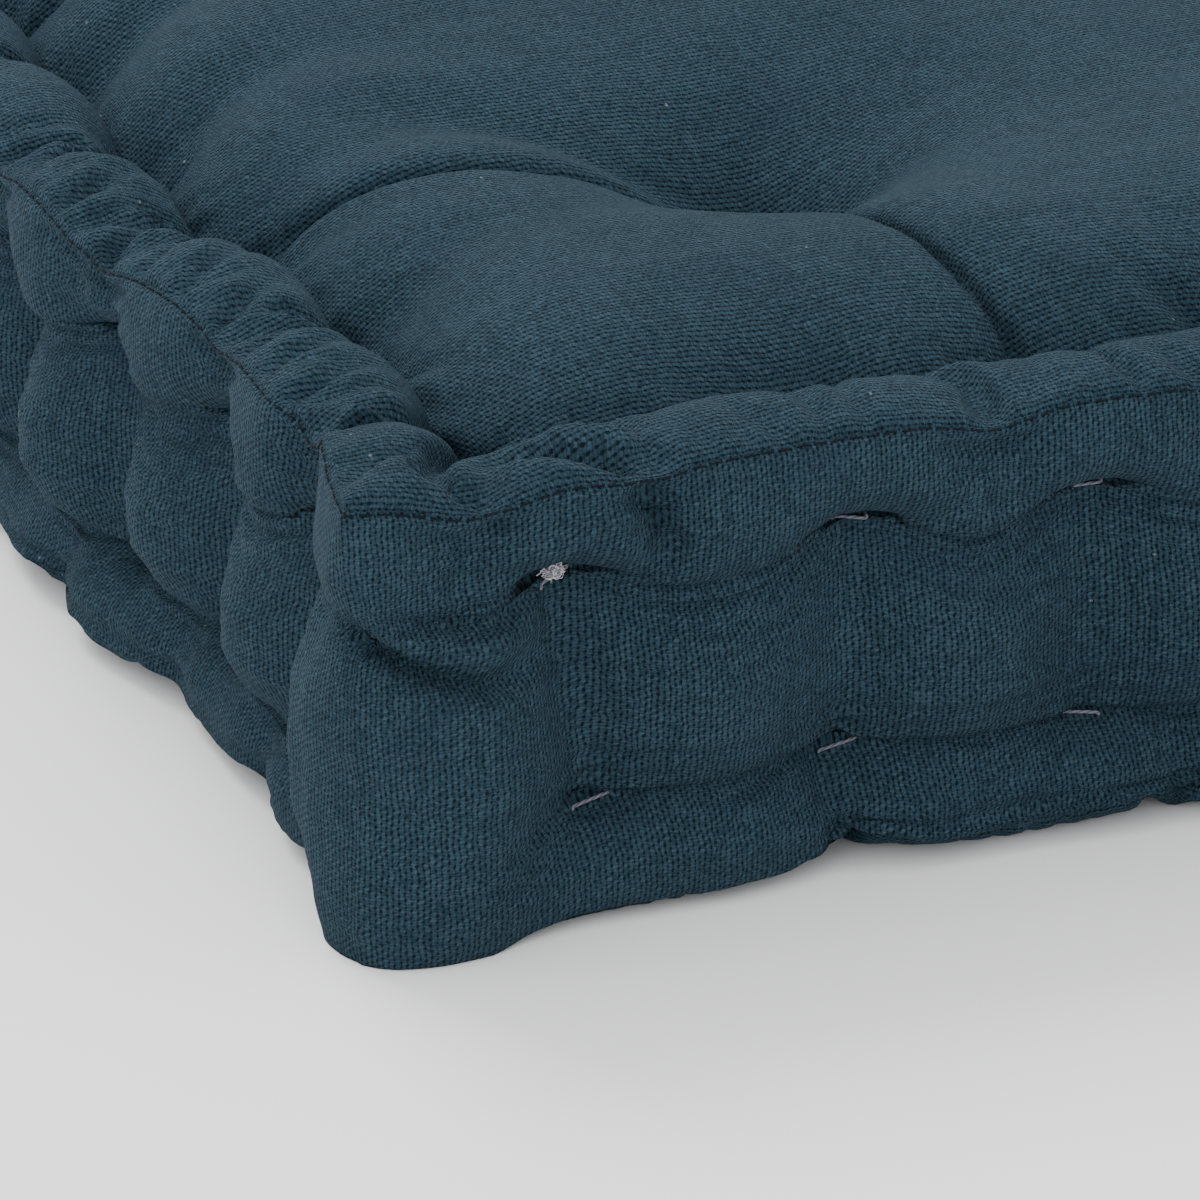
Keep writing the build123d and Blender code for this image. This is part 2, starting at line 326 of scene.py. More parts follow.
class Cover:
    def __init__(s, n, m):
        s.n, s.m = n, m
        s.a, s.ab, s.b = PANEL / (n - 1), BOXING / (n - 1), STRIP / (m - 1)
        q = n - 1
        # how far the wall's filling stands out, column by column: full between the stitches
        off = np.zeros((4 * q, m))
        depth = np.linspace(0, STRIP, m)
        for k in range(4):
            sx = (np.arange(q) / q - 0.5) * 396.0
            for lev, table, zc in ((0, UPPER, 24.0), (1, LOWER, STRIP - 24.0)):
                near = np.min([np.abs(sx - t) for t in table[k]], axis=0)
                full = 1 - np.exp(-(near / 11.0) ** 2)
                w = smooth((1 - (depth - zc) / (STRIP - 48.0)) if lev == 0 else (depth - 24.0) / (STRIP - 48.0))
                off[k * q:(k + 1) * q] += full[:, None] * w[None, :]
                corner = np.tile(smooth((np.abs((np.arange(q) / q - 0.5) * 396.0) - 165.0) / 20.0), 4)
        low = smooth((depth - 30.0) / 20.0) * (1 - smooth((depth - 80.0) / 12.0))
        off = np.maximum(off, corner[:, None] * (low + 0.0)[None, :])
        s.off = (off * 8.0).astype(F32)
        s.goal = wall_goal(q, m)
        s.pin = (0.6 * smooth((np.tile(np.abs((np.arange(q) / q - 0.5) * 396.0), 4) - 172.0) / 20.0)).astype(F32)
        s.make_ties()

    def start(s):
        t = np.linspace(-1, 1, s.n) * 198.0
        X, Y = np.meshgrid(t, t, indexing="ij")
        d = 198.0 - np.maximum(abs(X), abs(Y))
        s.T = np.array([X, Y, 78 + 7 * (1 - np.exp(-d / 8))], F32)
        s.B = np.array([X, Y, 5 - 5 * (1 - np.exp(-d / 8))], F32)
        ring, w = ring_of(s.T), np.linspace(0, 1, s.m)
        s.W = np.zeros((3, 4 * (s.n - 1), s.m), F32)
        for c in (0, 1):
            s.W[c] = ring[c][:, None] * (1 + 5 * np.sin(np.pi * w)[None, :] / 198)
        s.W[2] = (78 * (1 - w) + 5 * w)[None, :]
        rng = np.random.default_rng(7)
        for P in (s.T, s.B, s.W):
            P += rng.normal(0, 0.15, P.shape).astype(F32)
        s.still()

    def still(s):
        set_ring(s.T, s.W[:, :, 0])
        set_ring(s.B, s.W[:, :, -1])
        s.vT, s.vB, s.vW = np.zeros_like(s.T), np.zeros_like(s.B), np.zeros_like(s.W)

    def refine(s, n, m):
        """The same shape on a finer grid."""
        new = Cover(n, m)

        def up(P, axis, count):
            P = np.moveaxis(P, axis, -1)
            k = P.shape[-1]
            x = np.linspace(0, k - 1, count)
            i = np.minimum(np.floor(x).astype(int), k - 2)
            f = (x - i).astype(F32)
            a, b, c, d = (P[..., np.clip(i + q, 0, k - 1)] for q in (-1, 0, 1, 2))
            a, d = np.where(i == 0, 2 * b - c, a), np.where(i == k - 2, 2 * c - b, d)
            r = b + 0.5 * f * (c - a + f * (2 * a - 5 * b + 4 * c - d + f * (3 * (b - c) + d - a)))
            return np.ascontiguousarray(np.moveaxis(r, -1, axis)).astype(F32)

        new.T, new.B = up(up(s.T, 1, n), 2, n), up(up(s.B, 1, n), 2, n)
        q = s.n - 1
        sides = [up(s.W[:, (np.arange(q + 1) + k * q) % (4 * q)], 1, n)[:, :-1] for k in range(4)]
        new.W = up(np.concatenate(sides, axis=1), 2, m)
        new.still()
        return new

    def make_ties(s):
        """Where the yarn holds the cloth, as index arrays into the grids."""
        q, rows = s.n - 1, []

        def tie(k, at, upper, wo, wz, go, gz, w):
            i = int(np.clip(round((at / 396.0 + 0.5) * q), 1, q - 1))
            row = int(round((21.0 if upper else STRIP - 21.0) / s.b))
            j = int(round(34.0 / s.a))
            ii = min(max(i, j), q - j)
            pi, pj = {0: (ii, j), 1: (q - j, ii), 2: (q - ii, q - j), 3: (j, q - ii)}[k]
            b = float(bow(k, at))
            rows.append((0 if upper else 1, pi, pj, (k * q + i) % (4 * q), row, k, at, wo + b, wz, go + b, gz, w))

        for k in range(4):
            for upper, table in ((True, UPPER), (False, LOWER)):
                wz, gz, up = (60.0, 64.0, 1) if upper else (21.0, 17.0, -1)
                for at in table[k]:
                    for e in np.arange(-2.6, 2.7, min(s.ab, 2.6)):
                        tie(k, at + e, upper, 187.5, wz, 173.0, gz, 0.6)
                for at in np.arange(-168 if upper else -160, 169 if upper else 161, s.ab):
                    near = min(abs(at - t) for t in table[k])
                    if near > 3.5:
                        f = float(smooth((near - 3) / 14))
                        tie(k, float(at), upper, 187.5 + 4.0 * f, wz - 1.5 * up * f, 173.0, gz + 5 * up * f, 0.6 - 0.4 * f)
        R = np.array(rows)
        s.ties = []
        for pan in (0, 1):
            r = R[R[:, 0] == pan]
            s.ties.append([r[:, c].astype(int) for c in range(1, 6)] + [r[:, 6:].T.astype(F32)])
        # the seams themselves keep near their line
        at = np.tile((np.arange(q) / q - 0.5) * 396.0, 4)
        k = np.repeat(np.arange(4), q)
        b = np.concatenate([bow(j, at[:q]) for j in range(4)])
        s.seam = k, at.astype(F32), (198.0 + b).astype(F32)
        s.tufts = []
        u = (np.arange(s.n) / q - 0.5) * PANEL
        for tx in (-1, 1):
            for ty in (-1, 1):
                near = np.hypot(u[:, None] - tx * 88.0, u[None, :] - ty * 88.0) < 5.5
                s.tufts.append((np.nonzero(near), F32(tx * TUFT), F32(ty * TUFT)))

    def sides(s, x, y):
        """Coordinates with the bow of each side taken out."""
        bx = np.where(x < 0, read(BOW_T[3], y), read(BOW_T[1], y))
        by = np.where(y < 0, read(BOW_T[0], x), read(BOW_T[2], x))
        return np.sign(x) * (np.abs(x) - bx), np.sign(y) * (np.abs(y) - by)

    def radius_loss(s, x, y, table):
        along_x = np.abs(y) > np.abs(x)
        a = np.where(y < 0, read(table[0], x), read(table[2], x))
        b = np.where(x < 0, read(table[3], y), read(table[1], y))
        return np.where(along_x, a, b)

    def fill(s, P, name):
        """How hard the filling pushes: 1 at the filling's own surface, less outside it, more inside."""
        x, y, z = P
        xs, ys = s.sides(x, y)
        o = square(xs, ys, F32(186.0), 11.0)
        if name == "T":
            rope = np.hypot(o, z - F32(70.5)) - F32(10.5) + s.radius_loss(x, y, NIP_UP_T)
            body = z - read(TOP_H, x, y)
        elif name == "B":
            rope = np.hypot(o, z - F32(11.5)) - F32(10.5) + s.radius_loss(x, y, NIP_LOW_T)
            body = read(LOW_H, x, y) - z
        else:
            up = np.hypot(o, z - F32(70.5)) - F32(10.5) + s.radius_loss(x, y, NIP_UP_T)
            low = np.hypot(o, z - F32(11.5)) - F32(10.5) + s.radius_loss(x, y, NIP_LOW_T)
            rope = np.minimum(up, low)
            body = square(xs, ys, F32(184.0), 15.0) - s.off
        return np.maximum(np.clip((6 - body) / F32(6), 0, 3), np.clip((4 - rope) * F32(0.75), 0, 4.5))

    def push(s, P, sign, a, b, wrap, name):
        if wrap:
            du = (np.roll(P, -1, 1) - np.roll(P, 1, 1)) * F32(0.5)
        else:
            du = np.empty_like(P)
            du[:, 1:-1] = (P[:, 2:] - P[:, :-2]) * F32(0.5)
            du[:, 0], du[:, -1] = P[:, 1] - P[:, 0], P[:, -1] - P[:, -2]
        dv = np.empty_like(P)
        dv[:, :, 1:-1] = (P[:, :, 2:] - P[:, :, :-2]) * F32(0.5)
        dv[:, :, 0], dv[:, :, -1] = P[:, :, 1] - P[:, :, 0], P[:, :, -1] - P[:, :, -2]
        N = np.stack([du[1] * dv[2] - du[2] * dv[1], du[2] * dv[0] - du[0] * dv[2], du[0] * dv[1] - du[1] * dv[0]])
        return N * (s.fill(P, name) * F32(sign * 0.006 / (a * b)))

    @staticmethod
    def weave(P, a, b, wrap, shear):
        """Keeps warp and weft at their length, with a little give on the bias."""
        for st in (0, 1):
            A, B = P[:, st:-1:2], P[:, st + 1::2]
            q = min(A.shape[1], B.shape[1])
            project(A[:, :q], B[:, :q], F32(a), 1, 1)
        for st in (0, 1):
            A, B = P[:, :, st:-1:2], P[:, :, st + 1::2]
            q = min(A.shape[2], B.shape[2])
            project(A[:, :, :q], B[:, :, :q], F32(b), 1, 1)
        d = F32(math.hypot(a, b))
        if wrap:
            project(P[:, -1:], P[:, :1], F32(a), 1, 1)
        for st in (0, 1):
            A, B = P[:, st:-1:2], P[:, st + 1::2]
            q = min(A.shape[1], B.shape[1])
            project(A[:, :q, :-1], B[:, :q, 1:], d, shear, shear)
            project(A[:, :q, 1:], B[:, :q, :-1], d, shear, shear)
        if wrap:
            project(P[:, -1:, :-1], P[:, :1, 1:], d, shear, shear)
            project(P[:, -1:, 1:], P[:, :1, :-1], d, shear, shear)

    @staticmethod
    def bend(P, kb, wrap):
        """Resistance to bending along warp and weft."""
        F = np.zeros_like(P)
        if wrap:
            L = np.roll(P, 1, 1) + np.roll(P, -1, 1) - 2 * P
            F -= np.roll(L, 1, 1) + np.roll(L, -1, 1) - 2 * L
        else:
            L = P[:, :-2] + P[:, 2:] - 2 * P[:, 1:-1]
            F[:, 1:-1] += 2 * L
            F[:, :-2] -= L
            F[:, 2:] -= L
        L = P[:, :, :-2] + P[:, :, 2:] - 2 * P[:, :, 1:-1]
        F[:, :, 1:-1] += 2 * L
        F[:, :, :-2] -= L
        F[:, :, 2:] -= L
        return F * F32(kb)

    def hold(s, pull):
        """The stitches and the tuft ties, drawn up by the share pull."""
        cx, cy = np.array(SIDE_X, F32), np.array(SIDE_Y, F32)
        for (i, j, kk, row, k, d), P, up in ((s.ties[0], s.T, 1), (s.ties[1], s.B, -1)):
            at, wo, wz, go, gz, w = d
            c, e = cx[k], cy[k]
            for Q, ix, o1, z1, wall in ((s.W, (kk, row), wo, wz, True), (P, (i, j), go, gz, False)):
                A = Q[(slice(None),) + ix]
                da = (at - A[0] * c - A[1] * e) * w * F32(0.3)
                do = o1 - (A[0] * e - A[1] * c)
                dz = z1 - A[2]
                if wall:
                    held = w * pull * (w > 0.5)
                    da, do, dz = da * (w > 0.5), np.minimum(do, 0) * held, dz * held * F32(0.6)
                else:
                    do, dz = do * w * pull * F32(0.6), np.minimum(dz * up, 0) * up * w * pull
                Q[(slice(None),) + ix] = A + np.stack([c * da + e * do, e * da - c * do, dz])
        s.W[:, :, 1:-1] += (s.goal[:, :, 1:-1] - s.W[:, :, 1:-1]) * (F32(s.aim) + s.pin * F32(0.8))[:, None]
        for row, P, w in ((0, s.T, 0.15), (-1, s.B, 0.2)):
            R = s.W[:, :, row]
            R += (s.goal[:, :, row] - R) * (F32(w) + s.pin)
            set_ring(P, R)
        for ix, tx, ty in s.tufts:
            for P, z in ((s.T, 84 - 27 * pull), (s.B, 20 * pull)):
                A = P[:, ix[0], ix[1]]
                A[0] += (tx - A[0].mean()) * F32(0.3)
                A[1] += (ty - A[1].mean()) * F32(0.3)
                A[2] += (z - A[2]) * F32(0.5)
                P[:, ix[0], ix[1]] = A

    aim = 0.12

    def step(s, damp, pull, kb):
        old = s.T.copy(), s.B.copy(), s.W.copy()
        for P, V, sign, a, b, wrap, name in (
            (s.T, s.vT, 1, s.a, s.a, False, "T"),
            (s.B, s.vB, -1, s.a, s.a, False, "B"),
            (s.W, s.vW, -1, s.ab, s.b, True, "W"),
        ):
            V *= F32(damp)
            V += s.push(P, sign, a, b, wrap, name) + s.bend(P, kb, wrap)
            np.clip(V, -1.5, 1.5, out=V)
            P += V
        s.weave(s.T, s.a, s.a, False, 0.25)
        s.weave(s.B, s.a, s.a, False, 0.25)
        s.weave(s.W, s.ab, s.b, True, 0.25)
        for row, P in ((0, s.T), (-1, s.B)):
            ring = (ring_of(P) + s.W[:, :, row]) * F32(0.5)
            set_ring(P, ring)
            s.W[:, :, row] = ring
        s.hold(F32(pull))
        for P in (s.T, s.B, s.W):
            np.maximum(P[2], F32(0), out=P[2])
        s.vT, s.vB, s.vW = s.T - old[0], s.B - old[1], s.W - old[2]


def simulate(steps=(900, 500), kb=(0.02, 0.012), fine=0, report=None):
    c = Cover(81, 19)
    c.start()
    for i in range(steps[0]):
        c.step(0.985, min(1, i / (0.5 * steps[0])), kb[0])
    if report:
        report("coarse", c)
    c = c.refine(161, 37)
    for i in range(steps[1]):
        c.step(0.97, 1, kb[1])
    if report:
        report("middle", c)
    if fine:
        c = c.refine(305, 69)
        c.aim = 0.05
        for i in range(fine):
            c.step(0.95, 1, kb[2] if len(kb) > 2 else kb[1])
        if report:
            report("fine", c)
    return c


# ------------------------------------------------- creases that the stitches leave
def slopes(P, wrap, sign):
    """Unit normals of a grid, pointing out of the cushion."""
    if wrap:
        du = np.roll(P, -1, 1) - np.roll(P, 1, 1)
    else:
        du = np.gradient(P, axis=1)
    dv = np.gradient(P, axis=2)
    N = np.cross(du, dv, axis=0) * sign
    return N / (np.linalg.norm(N, axis=0) + 1e-9)


def valley(u, v, pts):
    """Depth of a crease along (u, v, depth, width) points; negative depths are ridges."""
    out = np.zeros_like(u)
    lo_u, hi_u = min(p[0] - 3 * p[3] for p in pts), max(p[0] + 3 * p[3] for p in pts)
    lo_v, hi_v = min(p[1] - 3 * p[3] for p in pts), max(p[1] + 3 * p[3] for p in pts)
    box = (u >= lo_u) & (u <= hi_u) & (v >= lo_v) & (v <= hi_v)
    if not box.any():
        return out
    x, y = u[box], v[box]
    best = np.zeros_like(x)
    for (x0, y0, d0, w0), (x1, y1, d1, w1) in zip(pts[:-1], pts[1:]):
        dx, dy = x1 - x0, y1 - y0
        t = np.clip(((x - x0) * dx + (y - y0) * dy) / (dx * dx + dy * dy + 1e-9), 0, 1)
        r2 = (x - x0 - t * dx) ** 2 + (y - y0 - t * dy) ** 2
        d = (d0 + (d1 - d0) * t) * np.exp(-r2 / (w0 + (w1 - w0) * t) ** 2)
        best = np.where(np.abs(d) > np.abs(best), d, best)
    out[box] = best
    return out


def uneven(u, v, size, rng, count=24):
    """Gentle unevenness, about 1 high, with lumps of that size."""
    out = np.zeros_like(u)
    for _ in range(count):
        ang, k = rng.uniform(0, 2 * math.pi), 2 * math.pi / (size * rng.uniform(0.7, 1.5))
        out += np.sin(k * (u * math.cos(ang) + v * math.sin(ang)) + rng.uniform(0, 2 * math.pi))
    return out / math.sqrt(count / 2)


def crease_wall(c):
    """Creases of the boxing, as depth along its inward normal."""
    rng = np.random.default_rng(11)
    q = c.n - 1
    s = (np.arange(4 * q) % q / q - 0.5) * 396.0
    k = np.arange(4 * q) // q
    t = np.linspace(0, STRIP, c.m)
    S, T = np.meshgrid(s + 396.0 * k + 198.0, t, indexing="ij")       # 0 at the near corner
    S = np.where(S > 4 * 396.0 - 198.0, S - 4 * 396.0, S)
    D = 0.28 * uneven(S, T, 34, rng) + 0.10 * uneven(S, T, 11, rng)
    near = [
        # the tongue folded under the roll at the near corner
        [(33, 24.0, 0.8, 2.4), (26, 25.0, 1.4, 2.0), (16, 24.2, 1.6, 1.8), (7, 21.6, 0.3, 2.0)],
        [(-10, 25, 0.3, 2.4), (-2, 26.5, 2.4, 2.2), (5, 29.5, 5.0, 2.2), (12, 33.5, 6.2, 2.2), (20, 36.8, 5.0, 2.2), (32, 38.5, 0.4, 2.6)],
        [(4, 24.5, -0.8, 2.4), (13, 28.3, -2.6, 2.6), (23, 31.5, -2.0, 2.6), (32, 33, -0.4, 2.6)],
        [(10, 39.0, -0.9, 3.0), (22, 42.0, -0.7, 3.4)],
        # the crease across the front roll
        [(45.5, 0, 0.4, 2.4), (48, 4.5, 2.6, 2.4), (50, 9, 4.8, 2.4), (51.5, 14, 4.4, 2.4), (52, 21, 0.3, 2.6)],
        [(41, 2, -0.8, 3.4), (43.5, 9, -2.2, 3.4), (45.5, 15, -1.4, 3.4)],
        [(56, 4, -0.4, 3.4), (58, 11, -0.8, 3.4)],
        [(23, 0.5, 1.4, 1.8), (25, 4, 1.2, 2.0), (27, 8, 0.2, 2.2)],
        # faint creases of the corner
        [(2, 57, 0.1, 3.0), (8, 60, 0.7, 3.0), (16, 63, 0.6, 3.4), (24, 65, 0.1, 3.4)],
        # vertical creases of the lower roll
        [(81, 71, 1.3, 2.6), (81.5, 78, 1.7, 2.6), (82, 85, 1.2, 2.6), (82, 90, 0.2, 2.6)],
        [(76, 84, -0.9, 3.0), (76, 91, -0.9, 3.0)],
        [(142, 72, 0.9, 2.4), (141, 82, 1.3, 2.4), (141, 90, 0.2, 2.4)],
    ]
    for pts in near:
        D += valley(S, T, pts)
    for kk in range(4):
        # the hollow that runs down the wall from each upper stitch to the lower one
        for i, (hi, lo) in enumerate(zip(UPPER[kk], LOWER[kk])):
            x0, x1 = hi + 198.0 + 396.0 * kk, lo + 198.0 + 396.0 * kk
            off = 4 * 396.0 if x0 > 4 * 396.0 - 198.0 else 0
            h = 2.6 if (kk, i) == (0, 0) else rng.uniform(0.8, 1.5)
            mid = 0.5 * (x0 + x1) + rng.uniform(-1.5, 1.5)
            D += valley(S, T, [(x0 - off, 28, 0.5 * h, 3.0), (mid - off, 46, h, 4.2), (x1 - off, 67, 0.6 * h, 3.4)])
        for table, t0 in ((UPPER, 22.5), (LOWER, STRIP - 21.0)):
            for at in table[kk]:
                x0 = at + 198.0 + 396.0 * kk
                x0 -= 4 * 396.0 if x0 > 4 * 396.0 - 198.0 else 0
                D += valley(S, T, [(x0 - 2.4, t0, 0.7, 2.6), (x0 + 2.4, t0, 0.7, 2.6)])
                for _ in range(5):
                    ang, run = rng.uniform(0, 2 * math.pi), rng.uniform(6, 15)
                    a, b = math.cos(ang), math.sin(ang) * 0.9
                    D += valley(S, T, [(x0 + 3 * a, t0 + 2 * b, rng.uniform(0.35, 0.8), 1.2),
                                       (x0 + run * a, t0 + run * b, 0.0, rng.uniform(1.4, 2.2))])
        # small tucks where the boxing is eased into the seams
        for row, reach, count in ((0.6, 1, 26), (STRIP - 0.6, -1, 18)):
            for _ in range(count):
                x0 = rng.uniform(-188, 188) + 198.0 + 396.0 * kk
                x0 -= 4 * 396.0 if x0 > 4 * 396.0 - 198.0 else 0
                run = rng.uniform(3, 8)
                D += valley(S, T, [(x0, row, rng.uniform(0.25, 0.6), 1.3), (x0 + rng.uniform(-2, 2), row + reach * run, 0.05, 1.8)])
    return D


def crease_panel(c, upper):
    """Creases of a panel: across its rolls, out from its stitches and into its tufts."""
    rng = np.random.default_rng(23 if upper else 29)
    u = np.linspace(-PANEL / 2, PANEL / 2, c.n)
    X, Y = np.meshgrid(u, u, indexing="ij")
    D = 0.30 * uneven(X, Y, 60, rng) + 0.10 * uneven(X, Y, 19, rng)
    k0 = PANEL / 396.0
    for k, (cx, cy) in enumerate(zip(SIDE_X, SIDE_Y)):
        def put(pts):
            return [(cx * s + cy * (PANEL / 2 - d), cy * s - cx * (PANEL / 2 - d), h, w) for s, d, h, w in pts]
        many = (30 if k == 0 else 44 if k == 3 else 34) if upper else 16
        for _ in range(many):
            s, d0, run = rng.uniform(-185, 185) * k0, rng.uniform(1, 9), rng.uniform(8, 20)
            h = rng.uniform(0.3, 0.95) * (1.8 if k == 3 else 0.9)
            D += valley(X, Y, put([(s, d0, h * 0.6, 1.5), (s + rng.uniform(-2, 2), d0 + 0.5 * run, h, 1.9), (s + rng.uniform(-4, 4), d0 + run, 0.05, 1.8)]))
        for at in (UPPER if upper else LOWER)[k]:
            for _ in range(6):
                ang, run = rng.uniform(0.1, math.pi - 0.1), rng.uniform(8, 26)
                h = rng.uniform(0.5, 1.3) * (1.5 if k == 3 else 0.9)
                D += valley(X, Y, put([(at * k0 + 2 * math.cos(ang), 35, h, 1.6), (at * k0 + run * math.cos(ang), 35 + run * math.sin(ang), 0.0, 2.8)]))
    if upper:
        E, k1 = PANEL / 2, PANEL / 396.0
        front = [
            [(-149, 0.6, 0.8, 2.2), (-152, 4, 3.2, 2.2), (-159, 8.5, 5.0, 2.2), (-167, 12, 3.6, 2.3), (-174, 14, 0.3, 2.6)],
            [(-140, 3, -0.6, 2.8), (-149, 9.5, -2.2, 2.8), (-158, 15, -1.6, 3.0)],
            [(-174.5, 0.6, 2.0, 1.9), (-178, 5, 2.8, 2.2), (-183, 12, 2.4, 2.6), (-186, 20, 0.5, 3.0)],
            [(-162, 3, -0.8, 3.4), (-168, 6, -0.8, 3.4)],
            [(-126, 2, 0.8, 1.8), (-130, 9, 1.1, 2.2), (-134, 16, 0.2, 2.4)],
            [(-88, 1, 1.2, 1.8), (-90, 8, 1.4, 2.2), (-91, 18, 0.3, 2.6)],
        ]
        for pts in front:
            D += valley(X, Y, [(s * k1, -E + d, h, w) for s, d, h, w in pts])
        left = [
            [(-188, 2, 1.2, 2.0), (-184, 9, 1.6, 2.2), (-178, 20, 0.4, 2.6)],
            [(-166, 0.6, 2.2, 2.0), (-165, 7, 2.8, 2.3), (-160, 20, 2.2, 2.6), (-150, 32, 0.6, 3.0)],
            [(-160, 2, -1.0, 2.6), (-154, 16, -1.0, 3.0)],
            [(-148, 1, 1.6, 1.7), (-146, 8, 1.8, 2.0), (-141, 20, 0.6, 2.4)],
            [(-137, 1, 1.2, 1.7), (-134, 9, 1.7, 2.0), (-129, 22, 0.5, 2.4)],
            [(-127, 1, 1.4, 1.7), (-123, 10, 2.0, 2.1), (-118, 26, 1.6, 2.4)],
            [(-112, 1, 1.6, 1.8), (-108, 9, 1.8, 2.0), (-101, 20, 0.4, 2.4)],
            [(-99, 1, 1.1, 1.7), (-95, 9, 1.6, 2.0), (-88, 22, 0.4, 2.4)],
            [(-86, 1, 1.5, 1.8), (-82, 10, 1.8, 2.1), (-76, 26, 1.4, 2.6)],
            [(-74, 0.6, 2.6, 2.0), (-70, 6, 2.6, 2.2), (-66, 16, 1.0, 2.6)],
            [(-55, 1, 1.2, 1.8), (-50, 11, 1.6, 2.2), (-44, 22, 0.4, 2.6)],
            [(-38, 1, 1.2, 1.8), (-32, 11, 1.6, 2.2), (-26, 24, 0.8, 2.6)],
        ]
        for pts in left:
            D += valley(X, Y, [(-E + d, s * k1, 1.7 * h, w) for s, d, h, w in pts])
    for tx in (-88.0, 88.0):
        for ty in (-88.0, 88.0):
            for i in range(11):
                ang, run = 2 * math.pi * (i + rng.uniform(-0.3, 0.3)) / 11, rng.uniform(16, 40)
                h = rng.uniform(0.4, 1.3)
                D += valley(X, Y, [(tx + 5 * math.cos(ang), ty + 5 * math.sin(ang), h, 1.6),
                                   (tx + 0.5 * run * math.cos(ang + 0.1), ty + 0.5 * run * math.sin(ang + 0.1), 0.6 * h, 2.6),
                                   (tx + run * math.cos(ang), ty + run * math.sin(ang), 0.0, 4.0)])
    return D


def finish_cover(c):
    """Presses the creases in and draws the seams down into their grooves."""
    T, B, W = (np.asarray(P, float) for P in (c.T, c.B, c.W))
    nT, nB, nW = slopes(T, False, 1), slopes(B, False, -1), slopes(W, True, -1)
    q = c.n - 1
    edge = np.minimum.outer(np.minimum(np.arange(c.n), q - np.arange(c.n)), np.full(c.n, 10 ** 6))
    edge = np.minimum(edge, edge.T) * c.a
    hold = 1 - np.exp(-(edge / 1.5) ** 2)
    T -= nT * crease_panel(c, True) * hold
    B -= nB * crease_panel(c, False) * hold * 0.6
    depth = np.linspace(0, STRIP, c.m)
    rows = np.minimum(depth, STRIP - depth)
    W -= nW * crease_wall(c) * (1 - np.exp(-(rows / 1.2) ** 2))[None, :]
    # the seams: both edges sink together, and the cloth beside them stands up a little
    for P, N, row in ((T, nT, 0), (B, nB, -1)):
        n = ring_of(N) + nW[:, :, row]
        n /= np.linalg.norm(n, axis=0)
        ring = ring_of(P) - 0.85 * n
        set_ring(P, ring)
        W[:, :, row] = ring
        P += N * 0.22 * np.exp(-((edge - 2.4) / 1.2) ** 2) * (edge > 0)
    for r, g in ((1, 0.10), (2, 0.22), (3, 0.08)):
        W[:, :, r] += nW[:, :, r] * g
        W[:, :, -1 - r] += nW[:, :, -1 - r] * g
    # the upright joins of the boxing, at two corners
    for col in (q, 3 * q):
        for d, g in ((0, -0.7), (1, -0.1), (-1, -0.1), (2, 0.2), (-2, 0.2)):
            W[:, col + d, 1:-1] += nW[:, col + d, 1:-1] * g
    for P in (T, B, W):
        np.maximum(P[2], 0.15, out=P[2])
    return T, B, W


# ------------------------------------------------------------------ materials
class Nodes:
    """Short ways to add shader nodes."""

    def __init__(s, name):
        s.mat = bpy.data.materials.new(name)
        s.mat.use_nodes = True
        s.t = s.mat.node_tree
        s.bsdf = s.t.nodes["Principled BSDF"]

    def put(s, socket, value):
        if isinstance(value, bpy.types.NodeSocket):
            s.t.links.new(value, socket)
        else:
            socket.default_value = value

    def new(s, kind, **facts):
        n = s.t.nodes.new(kind)
        for k, v in facts.items():
            setattr(n, k, v)
        return n

    def m(s, op, a, b=None, c=None, clamp=False):
        n = s.new("ShaderNodeMath", operation=op, use_clamp=clamp)
        for i, v in enumerate((a, b, c)):
            if v is not None:
                s.put(n.inputs[i], v)
        return n.outputs[0]

    def xyz(s, x, y, z=0.0):
        n = s.new("ShaderNodeCombineXYZ")
        for i, v in enumerate((x, y, z)):
            s.put(n.inputs[i], v)
        return n.outputs[0]

    def noise(s, vec, scale, detail=2.0, rough=0.5):
        n = s.new("ShaderNodeTexNoise", noise_dimensions="3D")
        s.put(n.inputs["Vector"], vec)
        n.inputs["Scale"].default_value = scale
        n.inputs["Detail"].default_value = detail
        n.inputs["Roughness"].default_value = rough
        return n.outputs[0]

    def dice(s, vec):
        n = s.new("ShaderNodeTexWhiteNoise", noise_dimensions="3D")
        s.put(n.inputs["Vector"], vec)
        return n.outputs["Value"]

    def ramp(s, x, lo, hi, to_lo=0.0, to_hi=1.0):
        n = s.new("ShaderNodeMapRange", interpolation_type="SMOOTHSTEP", clamp=True)
        for i, v in enumerate((x, lo, hi, to_lo, to_hi)):
            s.put(n.inputs[i], v)
        return n.outputs[0]

    def mix(s, f, a, b, blend="MIX"):
        n = s.new("ShaderNodeMix", data_type="RGBA", blend_type=blend)
        s.put(n.inputs[0], f)
        for i, v in ((6, a), (7, b)):
            s.put(n.inputs[i], tuple(v) + (1.0,) if isinstance(v, (tuple, list)) and len(v) == 3 else v)
        return n.outputs[2]

    def bump(s, height, distance, strength=1.0, normal=None):
        n = s.new("ShaderNodeBump")
        n.inputs["Strength"].default_value = strength
        n.inputs["Distance"].default_value = distance
        s.put(n.inputs["Height"], height)
        if normal is not None:
            s.put(n.inputs["Normal"], normal)
        return n.outputs[0]

    def set(s, **facts):
        for k, v in facts.items():
            s.put(s.bsdf.inputs[k.replace("_", " ")], v)

    def where(s):
        return s.new("ShaderNodeTexCoord").outputs["Object"]


